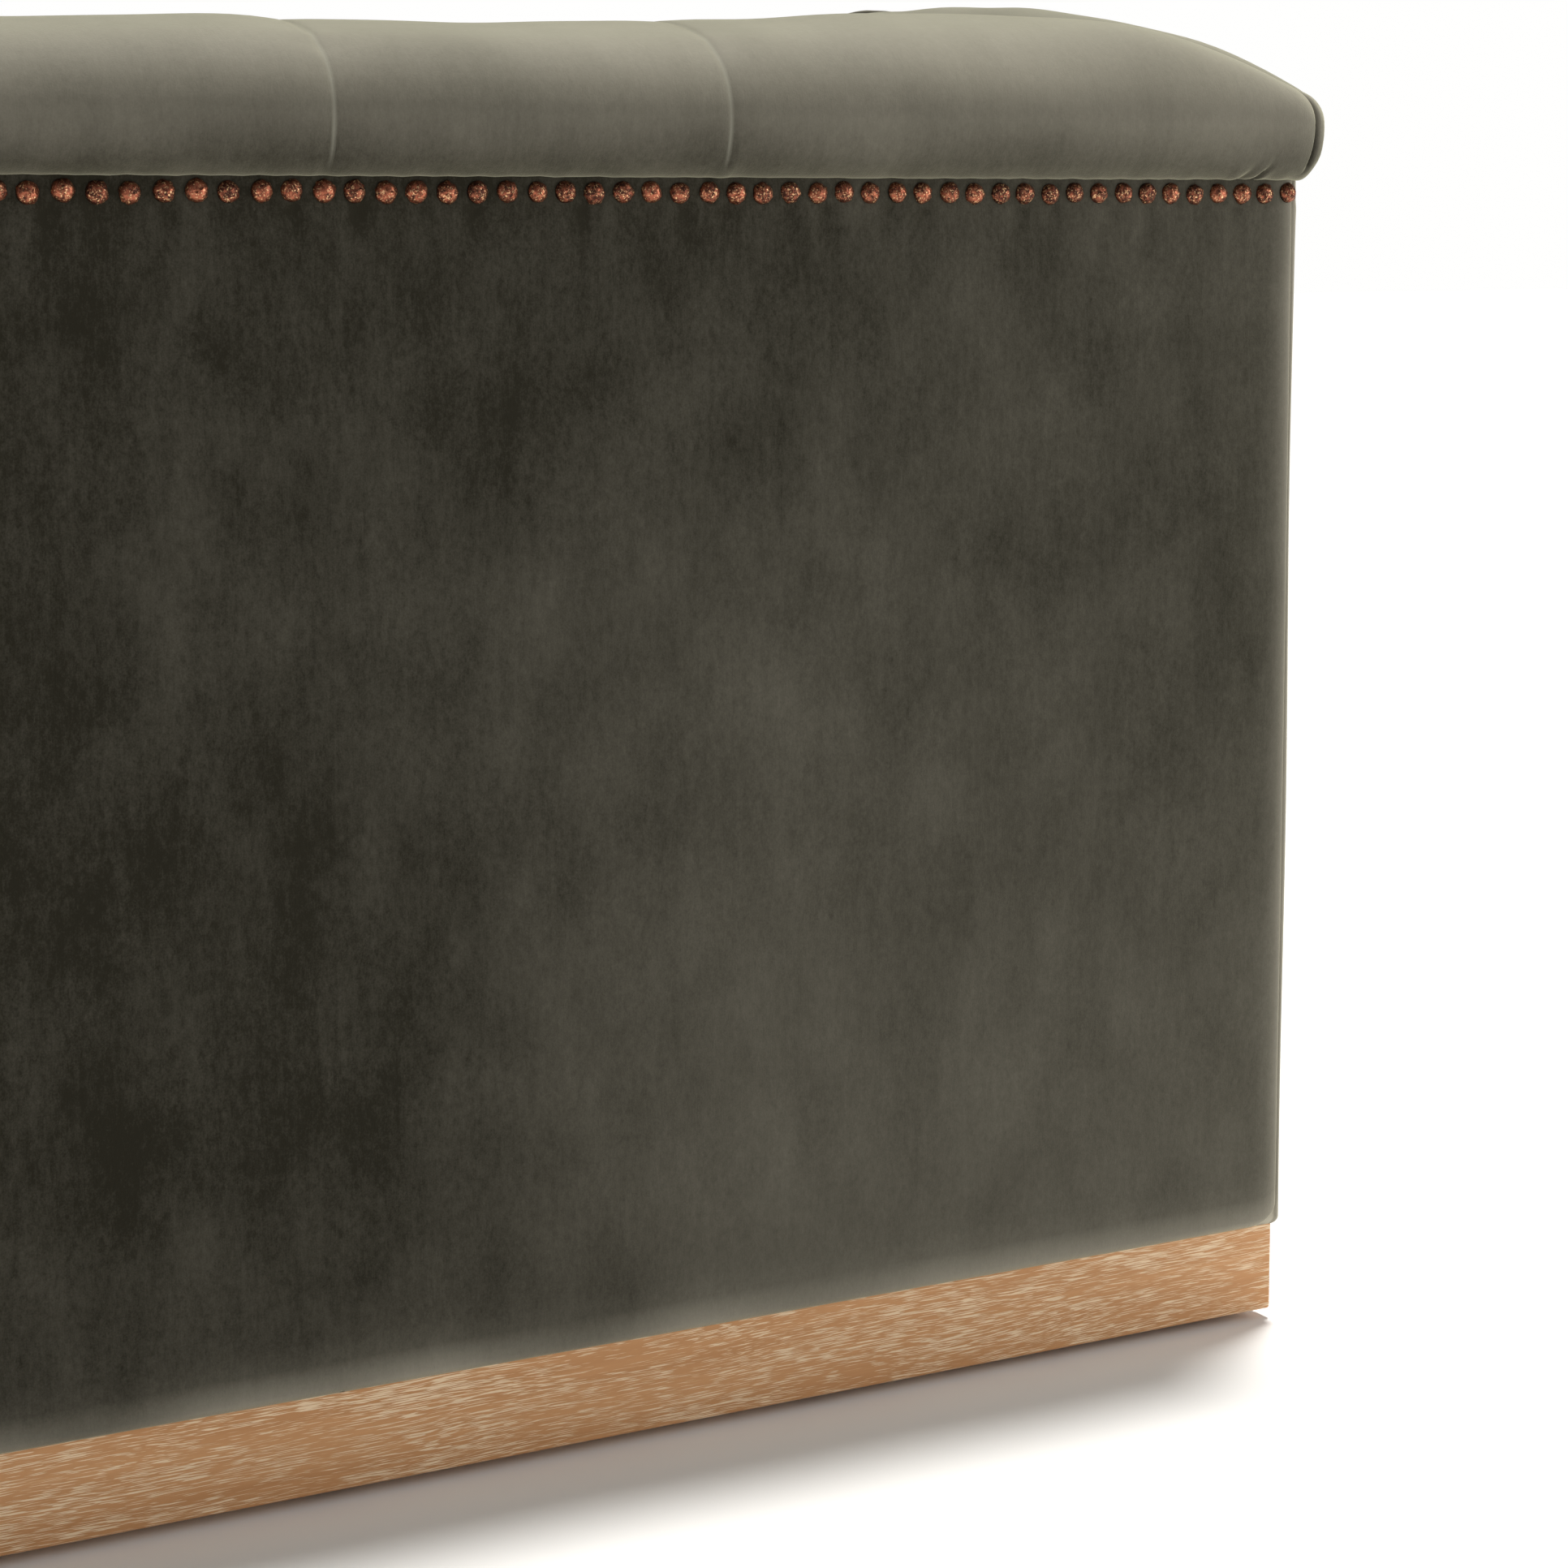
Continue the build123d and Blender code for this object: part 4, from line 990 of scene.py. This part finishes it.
def tube(name, path, radius, material, around=10):
    """A closed cord round a closed path in an upright plane that faces along Y."""
    out = np.cross(unit(np.roll(path, -1, 0) - np.roll(path, 1, 0)), [0.0, 1.0, 0.0])
    angle = np.linspace(0, 2 * np.pi, around, endpoint=False)[None, :, None]
    grid = path[:, None] + radius * (out[:, None] * np.cos(angle) + np.array([0, 1, 0]) * np.sin(angle))
    grid = np.concatenate([grid, grid[:1]])
    rows = len(path)
    faces = grid_faces(rows + 1, around, wrap=True)
    faces = np.where(faces >= rows * around, faces - rows * around, faces)
    uv = np.stack([running_length(grid, 0)[:-1], running_length(grid, 1)[:-1]], -1).reshape(-1, 2)
    return new_piece(name, grid[:-1].reshape(-1, 3), [faces], material, uv)


outline = np.concatenate([np.stack([inside, levels], 1), np.stack([outside, levels], 1)[::-1]])
outline = np.insert(outline, 1, WING_END - 0.005, axis=1)
outline = outline[np.linalg.norm(outline - np.roll(outline, 1, 0), axis=1) > 0.0012]
for side, sign in SIDES.items():
    facing = carried("velvet_wing_facing_" + side, mirrored(facing_grid, sign), VELVET)
    settle(facing, "wing_facing_" + side, slot="velvet", fill=0.7)
    welt = tube("velvet_wing_welt_" + side, mirrored(outline, sign), 0.0042, VELVET)
    settle(welt, slot="velvet", fill=1.0)

# %% [markdown]
# ## Padded rails
# The side rails and the foot rail are wrapped in one run of cloth: a thin skin on the outside and a
# stuffed bolster on top, with a stitched crease between them. The section is carried along one wing's
# rail, round both foot corners and back along the other rail.

# %% Rails
PAD = RAIL_OUT - WELL - 0.010
SKIN = 0.030


def rail_section():
    """(depth, height) round the padded rail: up the skin, round the bolster, and back down inside."""
    t = np.linspace(0, np.pi / 2, 13)
    sine, cosine = np.sin(t)[1:], np.cos(t)[1:]
    rim = RIM * (1 - np.sin(t[::2])), BASE - DROP + RIM * (1 - np.cos(t[::2]))
    skin = np.linspace(BASE + RIM, RAIL_TUCK - 0.012, 12)
    swell_out = -0.002 * np.sin(np.pi * np.linspace(0, 1, 12))
    crease = np.array([0.0015, 0.006, 0.006, 0.0015]), RAIL_TUCK + np.array([-0.005, -0.001, 0.001, 0.004])
    middle = RAIL_TUCK + 0.045
    rise = RAIL_TOP - middle
    mid_depth = PAD / 2 + 0.005
    low_side = 0.0015 - 0.0115 * sine, middle - (middle - RAIL_TUCK - 0.004) * cosine
    up = mid_depth - (mid_depth + 0.010) * cosine, middle + rise * sine ** 0.85
    over = mid_depth + (PAD - mid_depth + 0.010) * sine, middle + rise * cosine ** 0.85
    under = (np.array([PAD + 0.010, PAD + 0.006, 0.045, SKIN, SKIN, 0.016]),
             np.append(RAIL_TUCK + np.array([0.01, 0.002, 0.002, -0.004]), BASE + np.array([0.02, 0.004])))
    depth = np.concatenate([rim[0], swell_out, crease[0], low_side[0], up[0], over[0], under[0]])
    level = np.concatenate([rim[1], skin, crease[1], low_side[1], up[1], over[1], under[1]])
    return depth, level


depth, level = rail_section()
PAD_CORNER = 0.030
corner_radius = np.maximum(PAD_CORNER - depth, 0.001)[None, :]
share = np.concatenate([np.linspace(-1, -0.035, 90), np.linspace(-0.03, 0.03, 27),
                        np.linspace(0.035, 1, 60)])[:, None]
straight_side = WING_END - (FOOT + 0.010) - depth - corner_radius + corner_half(corner_radius)
straight_foot = RAIL_OUT - 0.010 - depth - corner_radius + corner_half(corner_radius)
reach = np.where(share < 0, share * straight_side, share * straight_foot)
x, y = round_corner(reach, depth[None, :], corner_radius, side=RAIL_OUT - 0.010, back=-(FOOT + 0.010))
z = np.broadcast_to(level, x.shape)
half = np.stack([x, -y, z], -1)
whole = np.concatenate([half, mirrored(half[::-1][1:])])
soft = smoothstep(RAIL_TUCK + 0.004, RAIL_TUCK + 0.03, whole[..., 2:])
whole = whole + 0.0016 * waves(whole[..., :1], whole[..., 1:2], 61, 0.22) * soft * np.array([0.3, 0.3, 1.0])
# painted light on the lift mark: lighter on the bolster's top and along the bottom rim, painted shade in the
# stitched crease
top = smoothstep(RAIL_TUCK + 0.01, RAIL_TOP, whole[..., 2])
crease_shade = bell(whole[..., 2] - RAIL_TUCK, 0.004)
rim = np.exp(-(np.maximum(whole[..., 2] - BASE, 0) / 0.03) ** 1.5)
pads = carried("velvet_padded_rails", whole, VELVET, {"lift": 0.05 + 0.3 * top + 0.3 * rim - 0.3 * crease_shade})
settle(pads, "rail_pad_left", "rail_pad_right", "foot_pad", slot="velvet", fill=0.8)

# %% [markdown]
# ## Boards
# The plinth and the slats are plain boards with eased edges. Each board is eight corners taken from
# its CAD box, and a bevel modifier rounds every edge.

# %% Plinth and slats
CORNERS = np.array([[i, j, k] for i in (0, 1) for j in (0, 1) for k in (0, 1)])
SIX = np.array([[0, 1, 3, 2], [4, 6, 7, 5], [0, 4, 5, 1], [2, 3, 7, 6], [0, 2, 6, 4], [1, 5, 7, 3]])


def boards(name, spans, material, ease):
    """Boards between pairs of opposite corners, joined in one mesh, with their edges eased."""
    spans = np.asarray(spans, float)
    points = spans[:, None, 0] + CORNERS[None] * (spans[:, None, 1] - spans[:, None, 0])
    faces = (SIX[None] + 8 * np.arange(len(spans))[:, None, None]).reshape(-1, 4)
    piece = new_piece(name, points.reshape(-1, 3), [faces], material, smooth=False)
    bevel = piece.modifiers.new("eased_edges", "BEVEL")
    bevel.width = ease
    bevel.segments = 3
    return piece


EASE = 0.003
for part in ("back", "foot", "side_left", "side_right", "wing_left", "wing_right"):
    node = "plinth_" + part
    material = OAK_ACROSS if part in ("back", "foot") else OAK_ALONG
    settle(boards("oak_" + node, [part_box(node)], material, EASE), node, slot="cerused_oak")

low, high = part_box("plinth_wing_returns")
step_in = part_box("plinth_side_right")[0].x
spans = [((step_in, low.y, low.z), high), (low, (-step_in, high.y, high.z))]
settle(boards("oak_plinth_returns", spans, OAK_ACROSS, EASE), "plinth_wing_returns", slot="cerused_oak")

low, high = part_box("slats")
SLAT_WIDTH, SLATS = 0.090, 13
starts = np.linspace(low.y, high.y - SLAT_WIDTH, SLATS)
spans = [((low.x, y, low.z), (high.x, y + SLAT_WIDTH, high.z)) for y in starts]
settle(boards("pine_slats", spans, PINE_ACROSS, EASE), "slats", slot="frame_timber")

low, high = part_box("back_board")
TRIM = 0.010
spans = [((low.x + TRIM, low.y, low.z + TRIM), (high.x - TRIM, high.y, high.z))]
low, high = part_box("wing_outer_boards")
inner = high.x - (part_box("back_board")[1].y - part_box("back_board")[0].y)
for sign in SIDES.values():
    across = sorted((sign * inner, sign * high.x))
    spans.append(((across[0], low.y, low.z + TRIM), (across[1], high.y - 2 * TRIM, high.z)))
backing = boards("hardboard_backing", spans, HARDBOARD, 0.0008)
settle(backing, "back_board", "wing_outer_boards", slot="hardboard")

# %% [markdown]
# ## The carried-over frame
# The rest of the structure is shown as it was modelled, each node in the finish of its own material.

# %% Finishes for the CAD nodes
FINISHES = (
    (PLY, "front_board wing_inner_board_left wing_inner_board_right spacer_blocks"),
    (PINE_ACROSS, "plinth_blocks back_rails front_rails rear_posts front_posts wing_posts roll_former_back "
                  "foot_rail support_legs"),
    (PINE_ALONG, "wing_outer_rails wing_inner_rails roll_former_left roll_former_right side_rail_left "
                 "side_rail_right slat_ledgers centre_beam"),
    (ZINC, "corner_brackets rail_bolts leveller_foot leveller_middle leveller_head"),
    (NYLON, "glides"))
for material, names in FINISHES:
    for node in names.split():
        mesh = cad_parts[node].data
        mesh.materials.clear()
        mesh.materials.append(material)
    print(material.name, "on", names)

# %% [markdown]
# ## Room, light and camera
# A pale floor, a bright surround, a high and slightly soft sun that picks out the top of the roll,
# and a broad, weaker light from the side.

# %% Floor
floor_material, floor_tree, floor_shader = new_material("pale_floor")
where = add(floor_tree, "ShaderNodeTexCoord").outputs["Object"]
tone = mix_colour(floor_tree, noise(floor_tree, where, 0.8), (0.885, 0.87, 0.85, 1), (0.905, 0.895, 0.88, 1))
floor_tree.links.new(tone, floor_shader["Base Color"])
floor_shader["Roughness"].default_value = 0.8
FLOOR = 30.0                    # half the floor's width
corners = [(-FLOOR, -FLOOR, 0), (FLOOR, -FLOOR, 0), (FLOOR, FLOOR, 0), (-FLOOR, FLOOR, 0)]
floor_mesh = bpy.data.meshes.new("floor")
floor_mesh.from_pydata(corners, [], [(0, 1, 2, 3)])
floor_mesh.materials.append(floor_material)
floor = put("floor", floor_mesh)

# %% Lights
def aim(direction):
    """The turn that points a lamp or a camera along a direction."""
    return direction.to_track_quat("-Z", "Y").to_euler()


def lamp(name, kind, power, colour, place_at, turn, **settings):
    """A light of a kind, set in its place."""
    data = bpy.data.lights.new(name, kind)
    data.energy = power
    data.color = colour
    for key, value in settings.items():
        setattr(data, key, value)
    made = put(name, data)
    made.location = place_at
    made.rotation_euler = turn


SIDE_LIGHT = Vector((-4.2, 3.5, 1.6))
lamp("side", "AREA", 62.0, (1.0, 0.985, 0.96), SIDE_LIGHT, aim(Vector((-1.0, 1.1, 0.6)) - SIDE_LIGHT),
     shape="RECTANGLE", size=2.2, size_y=2.2)
lamp("high_window", "SUN", 3.3, (1.0, 0.985, 0.955), (0, 0, 0), (math.radians(5.6), math.radians(-8.0), 0.0),
     angle=math.radians(7.0))

world = bpy.data.worlds.new("surround")
bpy.context.scene.world = world
world.use_nodes = True
sky = world.node_tree
sky.nodes.clear()
seen = add(sky, "ShaderNodeLightPath").outputs["Is Camera Ray"]
ambient = add(sky, "ShaderNodeBackground", Color=(0.985, 0.99, 1.0, 1), Strength=0.31).outputs[0]
backdrop = add(sky, "ShaderNodeBackground", Color=(1.0, 0.998, 0.99, 1), Strength=1.0).outputs[0]
both = add(sky, "ShaderNodeMixShader", at0=seen, at1=ambient, at2=backdrop).outputs[0]
add(sky, "ShaderNodeOutputWorld", Surface=both)

# %% Camera
CAMERA_YAW, CAMERA_PITCH = math.radians(28.96), math.radians(6.39)
camera_data = bpy.data.cameras.new("camera")
camera_data.sensor_width = 36.0
camera_data.lens = 77.04
camera_data.shift_y = -0.13
camera = put("camera", camera_data)
camera.location = (1.0131, 3.7795, 1.1097)
camera.rotation_euler = aim(Vector((-math.sin(CAMERA_YAW) * math.cos(CAMERA_PITCH),
                                    -math.cos(CAMERA_YAW) * math.cos(CAMERA_PITCH), -math.sin(CAMERA_PITCH))))
bpy.context.scene.camera = camera
bpy.context.scene.view_settings.view_transform = "Standard"
